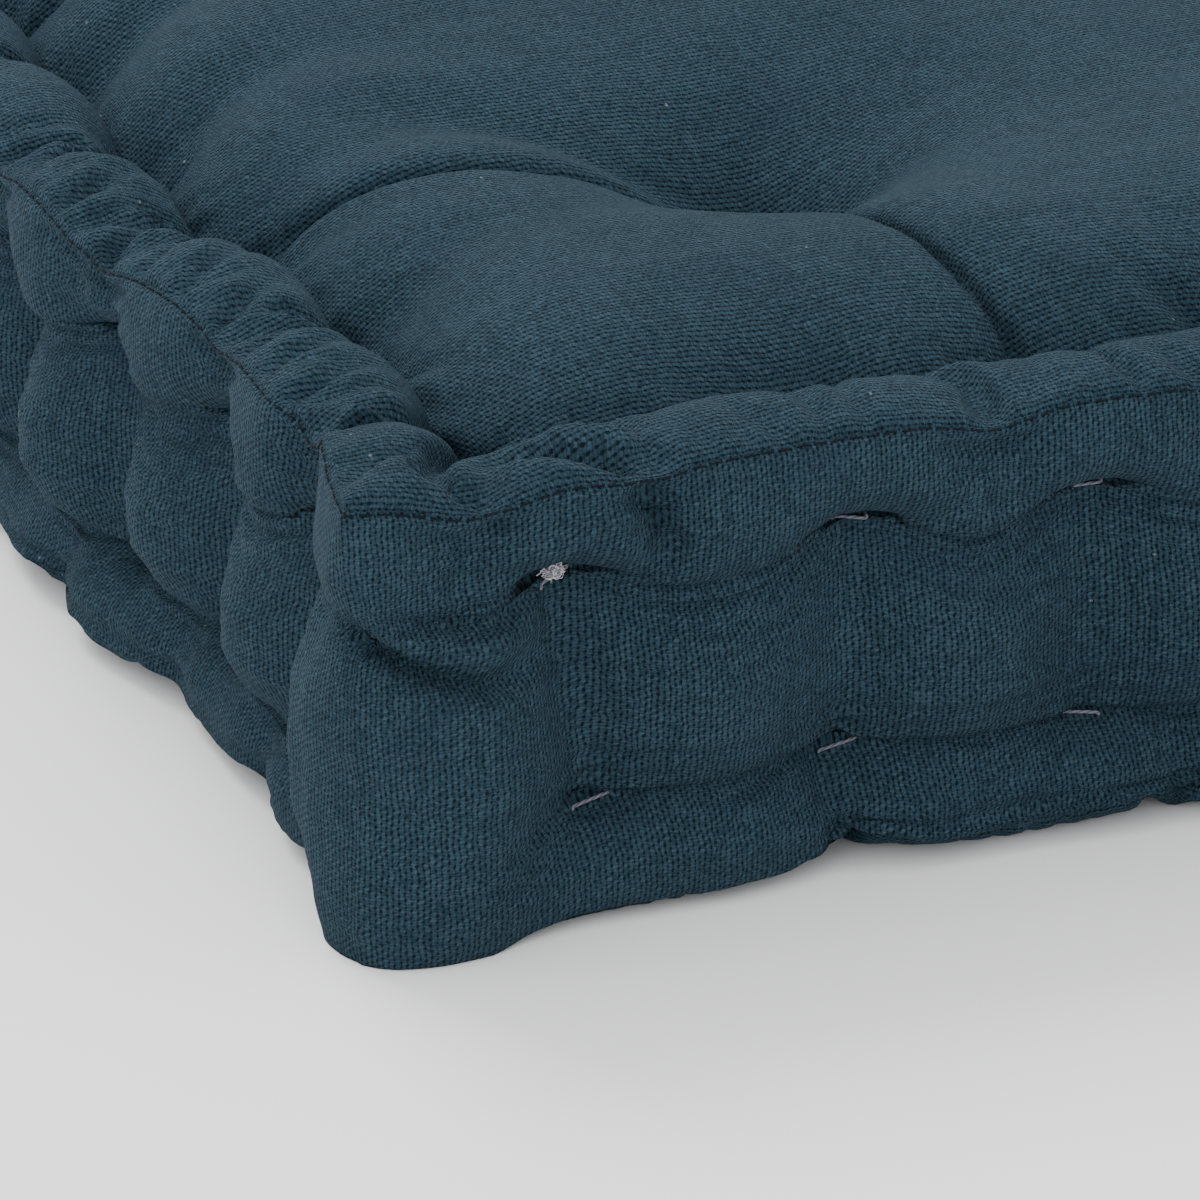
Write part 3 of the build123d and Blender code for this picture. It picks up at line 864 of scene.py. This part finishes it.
def canvas():
    """Plain-weave cotton canvas, dyed dark petrol, drawn in the cloth's own warp and weft."""
    g = Nodes("canvas")
    uv = g.new("ShaderNodeUVMap", uv_map="pattern").outputs[0]
    sep = g.new("ShaderNodeSeparateXYZ")
    g.put(sep.inputs[0], uv)
    x, y = g.m("MULTIPLY", sep.outputs[0], 1000.0), g.m("MULTIPLY", sep.outputs[1], 1000.0)
    wob = g.new("ShaderNodeTexNoise", noise_dimensions="3D")
    g.put(wob.inputs["Vector"], uv)
    wob.inputs["Scale"].default_value = 330.0
    wob.inputs["Detail"].default_value = 1.5
    w = g.new("ShaderNodeSeparateColor")
    g.put(w.inputs[0], wob.outputs["Color"])
    U = g.m("DIVIDE", g.m("ADD", x, g.m("MULTIPLY", w.outputs[0], 1.1)), 0.94)
    V = g.m("DIVIDE", g.m("ADD", y, g.m("MULTIPLY", w.outputs[1], 0.9)), 0.62)
    iu, iv = g.m("FLOOR", U), g.m("FLOOR", V)
    fu, fv = g.m("SUBTRACT", g.m("FRACT", U), 0.5), g.m("SUBTRACT", g.m("FRACT", V), 0.5)
    sgn = g.m("MULTIPLY_ADD", g.m("MODULO", g.m("ADD", iu, iv), 2.0), 2.0, -1.0)
    cu = g.m("COSINE", g.m("MULTIPLY", fu, math.pi))
    cv = g.m("COSINE", g.m("MULTIPLY", fv, math.pi))
    warp = g.m("ADD", g.m("MULTIPLY", g.m("POWER", cu, 0.6), 0.58), g.m("MULTIPLY", g.m("MULTIPLY", sgn, cv), 0.40))
    weft = g.m("SUBTRACT", g.m("MULTIPLY", g.m("POWER", cv, 0.6), 0.40), g.m("MULTIPLY", g.m("MULTIPLY", sgn, cu), 0.26))
    top = g.m("GREATER_THAN", warp, weft)
    h = g.m("MAXIMUM", warp, weft)
    # uneven yarns: each has stretches that are lighter, darker, thicker
    tone_w = g.dice(g.xyz(iu, g.m("FLOOR", g.m("MULTIPLY", V, 0.10)), 3.0))
    tone_f = g.dice(g.xyz(g.m("FLOOR", g.m("MULTIPLY", U, 0.12)), iv, 7.0))
    tone = g.m("ADD", g.m("MULTIPLY", top, tone_w), g.m("MULTIPLY", g.m("SUBTRACT", 1.0, top), tone_f))
    each = g.dice(g.xyz(iu, iv, 1.0))
    fibre = g.noise(uv, 2600.0, 3.0, 0.65)
    cloud = g.noise(uv, 14.0, 3.0, 0.6)
    # the holes where warp and weft change over, in every other row of each gap; the darkness given to them below is
    # painted shade
    U2 = g.m("ADD", U, 0.5)
    gap, gu = g.m("FLOOR", U2), g.m("SUBTRACT", g.m("FRACT", U2), 0.5)
    gv = g.m("MULTIPLY_ADD", g.m("FRACT", g.m("MULTIPLY", g.m("ADD", V, gap), 0.5)), 2.0, -1.0)
    gu, gv = g.m("DIVIDE", g.m("ADD", gu, g.m("MULTIPLY", gv, 0.07)), 0.24), g.m("DIVIDE", gv, 0.60)
    size = g.dice(g.xyz(gap, g.m("FLOOR", g.m("MULTIPLY", g.m("ADD", V, gap), 0.5)), 5.0))
    away = g.m("ADD", g.m("ADD", g.m("MULTIPLY", gu, gu), g.m("MULTIPLY", gv, gv)), g.m("MULTIPLY_ADD", size, -0.7, 0.25))
    hole = g.ramp(away, 0.1, 1.35, 1.0, 0.0)
    # painted shade: darker where the yarn is low, in the gaps between the yarns, and darkest in the holes
    seam = g.m("MULTIPLY", g.ramp(h, 0.10, 0.80, 1.0, 0.0), 0.62)
    painted_weave_shade = g.m("MAXIMUM", g.m("MULTIPLY", hole, 0.86), seam)
    light = g.m("ADD", g.m("ADD", g.m("MULTIPLY", tone, 0.12), g.m("MULTIPLY", each, 0.18)), g.m("MULTIPLY", fibre, 1.0))
    light = g.m("ADD", light, g.m("MULTIPLY", cloud, 0.22))                      # about 0.76 in the middle
    yarn = g.mix(g.ramp(light, 0.46, 1.06), (0.0068, 0.0200, 0.0310), (0.0330, 0.0640, 0.0880))
    # lays the painted shade colour (0.0007, 0.0032, 0.0062) over the yarn
    col = g.mix(painted_weave_shade, yarn, (0.0007, 0.0032, 0.0062))
    # faint patches of bluer and greener dye
    col = g.mix(g.ramp(g.noise(uv, 46.0, 2.0), 0.52, 0.75, 0.0, 0.22), col, (0.012, 0.020, 0.040))
    col = g.mix(g.ramp(g.noise(g.xyz(sep.outputs[1], sep.outputs[0], 0.31), 30.0, 2.0), 0.55, 0.78, 0.0, 0.16), col, (0.006, 0.024, 0.027))
    # lint and a few paler slubs
    v = g.new("ShaderNodeTexVoronoi", feature="F1", voronoi_dimensions="3D")
    g.put(v.inputs["Vector"], g.xyz(g.m("MULTIPLY", x, 0.11), g.m("MULTIPLY", y, 0.16), 0.0))
    v.inputs["Scale"].default_value = 1.0
    pick = g.new("ShaderNodeSeparateColor")
    g.put(pick.inputs[0], v.outputs["Color"])
    lint = g.m("MULTIPLY", g.m("LESS_THAN", v.outputs["Distance"], 0.042), g.m("GREATER_THAN", pick.outputs[0], 0.80))
    col = g.mix(g.m("MULTIPLY", lint, 0.6), col, (0.16, 0.17, 0.18))
    height = g.m("ADD", h, g.m("MULTIPLY", fibre, 0.35))
    height = g.m("SUBTRACT", g.m("ADD", height, g.m("MULTIPLY", each, 0.15)), g.m("MULTIPLY", hole, 0.6))
    g.set(Base_Color=col, Roughness=0.95, Specular_IOR_Level=0.08, Sheen_Weight=0.02, Sheen_Roughness=0.45,
          Sheen_Tint=(0.55, 0.75, 0.85, 1.0), Normal=g.bump(height, 0.00026, 1.0))
    return g.mat


def fluff(name, a, b, scale, bump):
    """Loose fibre: batting or fuzzy cotton."""
    g = Nodes(name)
    p = g.where()
    n1, n2 = g.noise(p, scale, 6.0, 0.7), g.noise(p, scale * 5.3, 4.0, 0.7)
    f = g.ramp(g.m("ADD", g.m("MULTIPLY", n1, 0.6), g.m("MULTIPLY", n2, 0.4)), 0.36, 0.66)
    g.set(Base_Color=g.mix(f, a, b), Roughness=0.97, Specular_IOR_Level=0.12, Sheen_Weight=0.2,
          Normal=g.bump(g.m("ADD", n1, g.m("MULTIPLY", n2, 0.5)), bump, 0.8))
    return g.mat


def twist(name, a, b, pitch, sheen=0.06):
    """Plied thread: its strands run round it, drawn from the tube's own pattern, with painted shade in the grooves
    between them.
    """
    g = Nodes(name)
    uv = g.new("ShaderNodeUVMap", uv_map="pattern").outputs[0]
    sep = g.new("ShaderNodeSeparateXYZ")
    g.put(sep.inputs[0], uv)
    turn = g.m("ADD", g.m("MULTIPLY", sep.outputs[0], 2 * math.pi * 2), g.m("MULTIPLY", sep.outputs[1], 2 * math.pi * 1000 / pitch))
    ply = g.m("MULTIPLY_ADD", g.m("SINE", turn), 0.5, 0.5)
    hair = g.noise(g.where(), 2800.0, 3.0, 0.7)
    # painted shade: the colour is darker where ply is low, in the grooves between the strands; hair adds the fibres'
    # own uneven tone
    f = g.m("ADD", g.m("MULTIPLY", g.m("POWER", ply, 0.6), 0.7), g.m("MULTIPLY", hair, 0.4), clamp=True)
    g.set(Base_Color=g.mix(f, a, b), Roughness=0.85, Specular_IOR_Level=0.15, Sheen_Weight=sheen,
          Normal=g.bump(g.m("ADD", ply, g.m("MULTIPLY", hair, 0.5)), 0.00012, 1.0))
    return g.mat


CANVAS = canvas()
FILLING = fluff("filling", (0.52, 0.48, 0.40), (0.74, 0.71, 0.63), 260.0, 0.0012)
COTTON = fluff("knot_cotton", (0.20, 0.20, 0.24), (0.62, 0.63, 0.67), 1600.0, 0.0002)
# the first colour of each thread is the painted shade of its grooves, the second the colour of its strands
THREAD = twist("sewing_thread", (0.0008, 0.0022, 0.0040), (0.0040, 0.0090, 0.0140), 0.9, 0.0)
YARN = twist("stitching_yarn", (0.040, 0.042, 0.060), (0.150, 0.152, 0.190), 1.6)
TWINE = twist("tufting_twine", (0.010, 0.020, 0.030), (0.030, 0.050, 0.064), 2.2)


# --------------------------------------------------------------------- meshes
def mesh(name, co, faces, uv, mat):
    """A smooth mesh of quads or triangles from arrays in mm; uv has one pair for each vertex."""
    me = bpy.data.meshes.new(name)
    co, faces = np.asarray(co, np.float32) / 1000, np.asarray(faces, np.int32)
    me.vertices.add(len(co))
    me.vertices.foreach_set("co", co.ravel())
    me.loops.add(faces.size)
    me.loops.foreach_set("vertex_index", faces.ravel())
    me.polygons.add(len(faces))
    me.polygons.foreach_set("loop_start", np.arange(0, faces.size, faces.shape[1], dtype=np.int32))
    me.update()
    me.polygons.foreach_set("use_smooth", np.ones(len(faces), bool))
    if uv is not None:
        layer = me.uv_layers.new(name="pattern")
        layer.data.foreach_set("uv", np.asarray(uv, np.float32)[faces.ravel()].ravel())
    me.validate()
    me.update()
    me.materials.append(mat)
    o = bpy.data.objects.new(name, me)
    scene.collection.objects.link(o)
    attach(o, "root")
    return o


def grid(name, P, u, v, flip, turned=False):
    """A sheet of cloth from a (3, n, k) grid, with its cut size as its pattern."""
    n, k = P.shape[1:]
    I, J = np.meshgrid(np.arange(n - 1), np.arange(k - 1), indexing="ij")
    q = np.stack([I * k + J, (I + 1) * k + J, (I + 1) * k + J + 1, I * k + J + 1], -1).reshape(-1, 4)
    if flip:
        q = q[:, ::-1]
    uv = np.stack(np.meshgrid(u, v, indexing="ij"), -1).reshape(-1, 2) / 1000
    if turned:
        uv = uv[:, ::-1]
    return mesh(name, np.moveaxis(P, 0, -1).reshape(-1, 3), q, uv, CANVAS)


class Tubes:
    """Many short tubes gathered into one mesh."""

    def __init__(s):
        s.co, s.faces, s.uv, s.at = [], [], [], 0

    def add(s, pts, radius, sides=7, closed=False, taper=False):
        pts = np.asarray(pts, float)
        n = len(pts)
        if closed:
            tan = np.roll(pts, -1, 0) - np.roll(pts, 1, 0)
        else:
            tan = np.gradient(pts, axis=0)
        tan /= np.linalg.norm(tan, axis=1)[:, None] + 1e-9
        ref = np.array([0.0, 0.0, 1.0]) if abs(tan[0][2]) < 0.8 else np.array([1.0, 0.0, 0.0])
        nor = np.zeros_like(pts)
        cur = ref - tan[0] * (ref @ tan[0])
        for i in range(n):
            cur = cur - tan[i] * (cur @ tan[i])
            cur /= np.linalg.norm(cur) + 1e-9
            nor[i] = cur
        bi = np.cross(tan, nor)
        a = np.linspace(0, 2 * math.pi, sides + 1)
        r = np.full(n, float(radius))
        if taper:
            r[0] = r[-1] = radius * 0.35
        ring = pts[:, None] + r[:, None, None] * (nor[:, None] * np.cos(a)[None, :, None] + bi[:, None] * np.sin(a)[None, :, None])
        run = np.concatenate([[0], np.cumsum(np.linalg.norm(np.diff(pts, axis=0), axis=1))])
        if closed:
            ring = np.concatenate([ring, ring[:1]])
            run = np.append(run, run[-1] + np.linalg.norm(pts[0] - pts[-1]))
            n += 1
        s.co.append(ring.reshape(-1, 3))
        s.uv.append(np.stack(np.meshgrid(run / 1000, a / (2 * math.pi), indexing="ij"), -1)[..., ::-1].reshape(-1, 2))
        I, J = np.meshgrid(np.arange(n - 1), np.arange(sides), indexing="ij")
        k = sides + 1
        s.faces.append(s.at + np.stack([I * k + J, I * k + J + 1, (I + 1) * k + J + 1, (I + 1) * k + J], -1).reshape(-1, 4))
        s.at += n * k

    def build(s, name, mat, slot):
        return mesh(name, np.concatenate(s.co), np.concatenate(s.faces), np.concatenate(s.uv), mat)


def curve(pts, per=6, closed=False):
    """A smooth line through the points."""
    p = np.asarray(pts, float)
    n = len(p)
    out = []
    for i in range(n if closed else n - 1):
        if closed:
            a, b, c, d = (p[(i + k) % n] for k in (-1, 0, 1, 2))
        else:
            a, b, c, d = p[max(i - 1, 0)], p[i], p[i + 1], p[min(i + 2, n - 1)]
        for f in np.arange(per) / per:
            out.append(b + 0.5 * f * (c - a + f * (2 * a - 5 * b + 4 * c - d + f * (3 * (b - c) + d - a))))
    if not closed:
        out.append(p[-1])
    return np.array(out)


# ------------------------------------------------------------- the cover's pieces
cover = simulate(steps=((700, 400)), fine=220, kb=(0.02, 0.012, 0.008))
TOP, LOW, WALLS = finish_cover(cover)
Q, M = cover.n - 1, cover.m
NT, NL, NW = slopes(TOP, False, 1), slopes(LOW, False, -1), slopes(WALLS, True, -1)

cut = np.linspace(0, PANEL, cover.n)
rows_v = np.linspace(0, STRIP, M)
top_cloth = grid("cover_top", TOP, cut, cut, False, turned=True)
low_cloth = grid("cover_bottom", LOW, cut, cut, True, turned=True)
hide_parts("top_panel")
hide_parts("bottom_panel")
cols = np.arange(3 * Q, 5 * Q + 1) % (4 * Q)
strip_a = grid("boxing_front_left", WALLS[:, cols], np.arange(len(cols)) * BOXING / Q, rows_v, True)
cols = np.arange(Q, 3 * Q + 1)
strip_b = grid("boxing_back_right", WALLS[:, cols], np.arange(len(cols)) * BOXING / Q, rows_v, True)
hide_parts("boxing_strip_front_left")
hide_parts("boxing_strip_back_right")


# ------------------------------------------------------------------- the threads
def line_at(P, index, run):
    """Point and direction along a polyline of points at a length."""
    i = int(np.clip(np.searchsorted(run, index) - 1, 0, len(run) - 2))
    f = (index - run[i]) / max(run[i + 1] - run[i], 1e-9)
    return P[i] + (P[i + 1] - P[i]) * f, P[i + 1] - P[i]


def dashes(P, N, pitch, dash, radius, seed, skip=0.0):
    """Machine stitches along a line of points, each dipping into the cloth at its ends."""
    rng = np.random.default_rng(seed)
    run = np.concatenate([[0], np.cumsum(np.linalg.norm(np.diff(P, axis=0), axis=1))])
    t = Tubes()
    at = skip
    while at + dash < run[-1] - skip:
        (a, _), (m, d), (b, _) = line_at(P, at, run), line_at(P, at + dash / 2, run), line_at(P, at + dash, run)
        n = N[int(np.clip(np.searchsorted(run, at + dash / 2), 0, len(N) - 1))]
        lift = rng.uniform(-0.04, 0.04)
        t.add([a - n * 0.25, a + n * (0.16 + lift), m + n * (0.27 + lift), b + n * (0.16 + lift), b - n * 0.25], radius, sides=6)
        at += pitch * rng.uniform(0.96, 1.04)
    return t


for name, P, NP, row, node in (("thread_top_seam", TOP, NT, 0, "top_seam_thread"), ("thread_bottom_seam", LOW, NL, -1, "bottom_seam_thread")):
    # the stitches lie a little under the seam, on the boxing
    near, far = WALLS[:, :, row], WALLS[:, :, row + (1 if row == 0 else -1)]
    line = near + 0.45 * (far - near)
    line = np.concatenate([line, line[:, :1]], axis=1).T
    n = np.concatenate([NW[:, :, row], NW[:, :1, row]], axis=1).T
    o = dashes(line, n, 3.0, 2.0, 0.17, 5).build(name, THREAD, "sewing_thread")
    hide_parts(node)
for name, col, node in (("thread_join_front_right", Q, "boxing_join_thread_front_right"), ("thread_join_back_left", 3 * Q, "boxing_join_thread_back_left")):
    line, n = WALLS[:, col].T, NW[:, col].T
    o = dashes(line, n, 3.0, 2.0, 0.17, 6, skip=2.0).build(name, THREAD, "sewing_thread")
    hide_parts(node)


def wall_point(k, s, t, out=0.0):
    """A point of the boxing at s along side k and t down the cloth, and its normal."""
    i = (k * Q + (s / 396.0 + 0.5) * Q) % (4 * Q)
    j = t / STRIP * (M - 1)
    i0, j0 = int(i), min(int(j), M - 2)
    a, b = i - i0, j - j0
    i1 = (i0 + 1) % (4 * Q)

    def read4(A):
        return (A[:, i0, j0] * (1 - a) * (1 - b) + A[:, i1, j0] * a * (1 - b) + A[:, i0, j0 + 1] * (1 - a) * b + A[:, i1, j0 + 1] * a * b)
    n = read4(NW)
    n = n / np.linalg.norm(n)
    return read4(WALLS) + n * out, n


def panel_point(P, N, k, s, d, out=0.0):
    """A point of a panel at s along side k and d in from its seam."""
    u, w = s / 396.0 * PANEL, PANEL / 2 - d
    x, y = SIDE_X[k] * u + SIDE_Y[k] * w, SIDE_Y[k] * u - SIDE_X[k] * w
    i, j = (x / PANEL + 0.5) * Q, (y / PANEL + 0.5) * Q
    i0, j0 = int(np.clip(i, 0, Q - 1)), int(np.clip(j, 0, Q - 1))
    a, b = i - i0, j - j0
    r = P[:, i0, j0] * (1 - a) * (1 - b) + P[:, i0 + 1, j0] * a * (1 - b) + P[:, i0, j0 + 1] * (1 - a) * b + P[:, i0 + 1, j0 + 1] * a * b
    return r + N[:, i0, j0] * out


SIDES = ("front", "right", "back", "left")
rng = np.random.default_rng(3)
for upper, table, P, N, t0 in ((True, UPPER, TOP, NT, 22.5), (False, LOWER, LOW, NL, STRIP - 21.0)):
    for k in range(4):
        t = Tubes()
        for at in table[k]:
            half, tilt = rng.uniform(2.2, 2.7), rng.uniform(-0.7, 0.7)
            # pulled tight between its two holes: a straight run that only the cloth can lift
            e0, e1 = (wall_point(k, at + e * half, t0 + e * tilt, 0.15)[0] for e in (-0.97, 0.97))
            over_cloth = [wall_point(k, at - 1.04 * half, t0 - 1.04 * tilt, -0.8)[0], e0]
            for a in (0.25, 0.5, 0.75):
                e = -0.97 + 1.94 * a
                w, n = wall_point(k, at + e * half, t0 + e * tilt)
                c = e0 * (1 - a) + e1 * a
                over_cloth.append(c + n * (max(0.0, float(np.dot(w - c, n))) + 0.2))
            over_cloth += [e1, wall_point(k, at + 1.04 * half, t0 + 1.04 * tilt, -0.8)[0]]
            under = [panel_point(P, N, k, at + e * half * 0.8, 34.0, o) for e, o in ((1.05, -0.5), (0.8, 0.3), (-0.8, 0.3), (-1.05, -0.5))]
            inner = [0.5 * (over_cloth[-1] + under[0]), 0.5 * (under[-1] + over_cloth[0])]
            t.add(curve(over_cloth + [inner[0]] + under + [inner[1]], 4, True), 0.30, sides=7, closed=True)
        word = ("upper" if upper else "lower")
        o = t.build("yarn_%s_%s" % (word, SIDES[k]), YARN, "stitching_yarn")
        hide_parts("%s_roll_stitches_%s" % (word, SIDES[k]))

# the tie-off knot: a puff of loose cotton ends at the first stitch of the front
at, n = wall_point(0, UPPER[0][0], 22.5, 0.9)
along = np.array([1.0, 0.0, 0.06])
rise = np.cross(along, n)
t = Tubes()
rng = np.random.default_rng(17)
for i in range(150):
    p = at + along * rng.normal(0, 0.85) + rise * rng.normal(0, 0.40) + n * rng.normal(0, 0.30)
    v = rng.normal(0, 1, 3)
    pts = [p]
    for _ in range(6):
        v = v * 0.7 + rng.normal(0, 0.75, 3)
        v = v - 0.35 * (pts[-1] - at)
        pts.append(pts[-1] + v / (np.linalg.norm(v) + 1e-9) * rng.uniform(0.2, 0.45))
    t.add(curve(pts, 2), rng.uniform(0.07, 0.17), sides=5)
knot = t.build("cotton_knot", COTTON, "knot_cotton")
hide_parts("tie_off_knot")

# tuft ties: twine down through the filling, with a bar on top and a knot underneath
for fx, a in ((-1, "left"), (1, "right")):
    for fy, b in ((-1, "front"), (1, "back")):
        i, j = round((fx * 88.0 / PANEL + 0.5) * Q), round((fy * 88.0 / PANEL + 0.5) * Q)
        up, dn = TOP[:, i, j], LOW[:, i, j]
        t = Tubes()
        z = np.array([0, 0, 1.0])
        for e in (-1, 1):
            s = np.array([1.6 * e, 0.5 * e, 0])
            t.add(curve([up + s - z * 1.5, up + s + z * 0.5, up + s * 0.4 + z * 1.0, up - s * 0.4 + z * 0.9], 4), 0.5, sides=8)
            t.add(curve([up + s - z * 1.0, 0.5 * (up + dn) + s * 0.6, dn + s + z * 1.0], 8), 0.5, sides=8)
        ang = np.linspace(0, 4 * math.pi, 26)
        t.add([dn + np.array([1.3 * math.cos(w), 1.3 * math.sin(w), -0.5 + 0.10 * w]) for w in ang], 0.5, sides=8)
        o = t.build("twine_%s_%s" % (b, a), TWINE, "tufting_twine")
        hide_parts("tuft_tie_%s_%s" % (b, a))


# -------------------------------------------------------------------- the batts
def batt(name, X, Y, high, low, node):
    """A layer of filling between two heights over a square grid of points."""
    n = X.shape[0]
    rim = np.zeros((n, n))
    rim[1:-1, 1:-1] = 1
    a, b = np.array([X, Y, high]), np.array([X, Y, low])
    mid = 0.5 * (high + low)
    a[2], b[2] = np.where(rim > 0, high, mid), np.where(rim > 0, low, mid)
    I, J = np.meshgrid(np.arange(n - 1), np.arange(n - 1), indexing="ij")
    q = np.stack([I * n + J, (I + 1) * n + J, (I + 1) * n + J + 1, I * n + J + 1], -1).reshape(-1, 4)
    ids = np.arange(n * n).reshape(n, n)
    lower = np.where(rim > 0, ids + n * n, ids).ravel()
    faces = np.concatenate([q, lower[q[:, ::-1]]])
    co = np.concatenate([np.moveaxis(a, 0, -1).reshape(-1, 3), np.moveaxis(b, 0, -1).reshape(-1, 3)])
    used = np.unique(faces)
    new = np.full(len(co), -1)
    new[used] = np.arange(len(used))
    co = co[used]
    uv = co[:, :2] / 1000 + 0.25
    o = mesh(name, co, new[faces], uv, FILLING)
    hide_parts(node)
    return o


pick = np.round(np.linspace(8, Q - 8, 85)).astype(int)
H, L = TOP[:, pick][:, :, pick], LOW[:, pick][:, :, pick]
hN, lN = NT[:, pick][:, :, pick], NL[:, pick][:, :, pick]
low_z, high_z = TOP[2].copy(), LOW[2].copy()
for _ in range(5):
    for ax in (0, 1):
        low_z = np.minimum(low_z, np.minimum(np.roll(low_z, 1, ax), np.roll(low_z, -1, ax)))
        high_z = np.maximum(high_z, np.maximum(np.roll(high_z, 1, ax), np.roll(high_z, -1, ax)))
H, L = H - hN * 2.6, L - lN * 2.6
H[2] = np.minimum(H[2], low_z[np.ix_(pick, pick)] - 2.0)
L[2] = np.maximum(L[2], high_z[np.ix_(pick, pick)] + 1.0)
reach = 186.0
for P in (H, L):
    P[0], P[1] = np.clip(P[0], -reach, reach), np.clip(P[1], -reach, reach)
lump = np.random.default_rng(41)
wave = 0.8 * uneven(H[0], H[1], 26, lump)
a = np.minimum(56.5 + wave, H[2] - 3.0)
b = np.maximum(26.0 + wave, L[2] + 3.0)
batt("batt_upper", H[0], H[1], H[2], np.minimum(a + 0.4, H[2] - 1.0), "upper_batt")
batt("batt_core", np.clip(H[0], -183, 183), np.clip(H[1], -183, 183), a, np.minimum(b, a - 4.0), "core_batt")
batt("batt_lower", L[0], L[1], np.maximum(np.minimum(b, a - 4.0) - 0.4, L[2] + 1.0), L[2], "lower_batt")

# ----------------------------------------------------------- floor and light
ground = bpy.data.meshes.new("floor")
ground.from_pydata([(-4, -4, 0), (4, -4, 0), (4, 4, 0), (-4, 4, 0)], [], [(0, 1, 2, 3)])
floor = bpy.data.objects.new("floor", ground)
scene.collection.objects.link(floor)
g = Nodes("floor")
g.set(Base_Color=(0.93, 0.93, 0.93, 1.0), Roughness=0.95, Specular_IOR_Level=0.05)
ground.materials.append(g.mat)

world = bpy.data.worlds.new("studio")
scene.world = world
world.use_nodes = True
world.node_tree.nodes["Background"].inputs[0].default_value = (1, 1, 1, 1)
world.node_tree.nodes["Background"].inputs[1].default_value = 1.6


def lamp(name, loc, size, power, aim=(0, 0, 0.03)):
    data = bpy.data.lights.new(name, "AREA")
    data.shape, data.size, data.energy = "SQUARE", size, power
    o = bpy.data.objects.new(name, data)
    scene.collection.objects.link(o)
    o.location = loc
    o.rotation_mode = "QUATERNION"
    o.rotation_quaternion = (Vector(aim) - Vector(loc)).to_track_quat("-Z", "Y")


lamp("key", (-0.45, 1.3, 1.6), 1.0, 38)
lamp("fill", (-0.9, -1.7, 1.1), 1.4, 9)
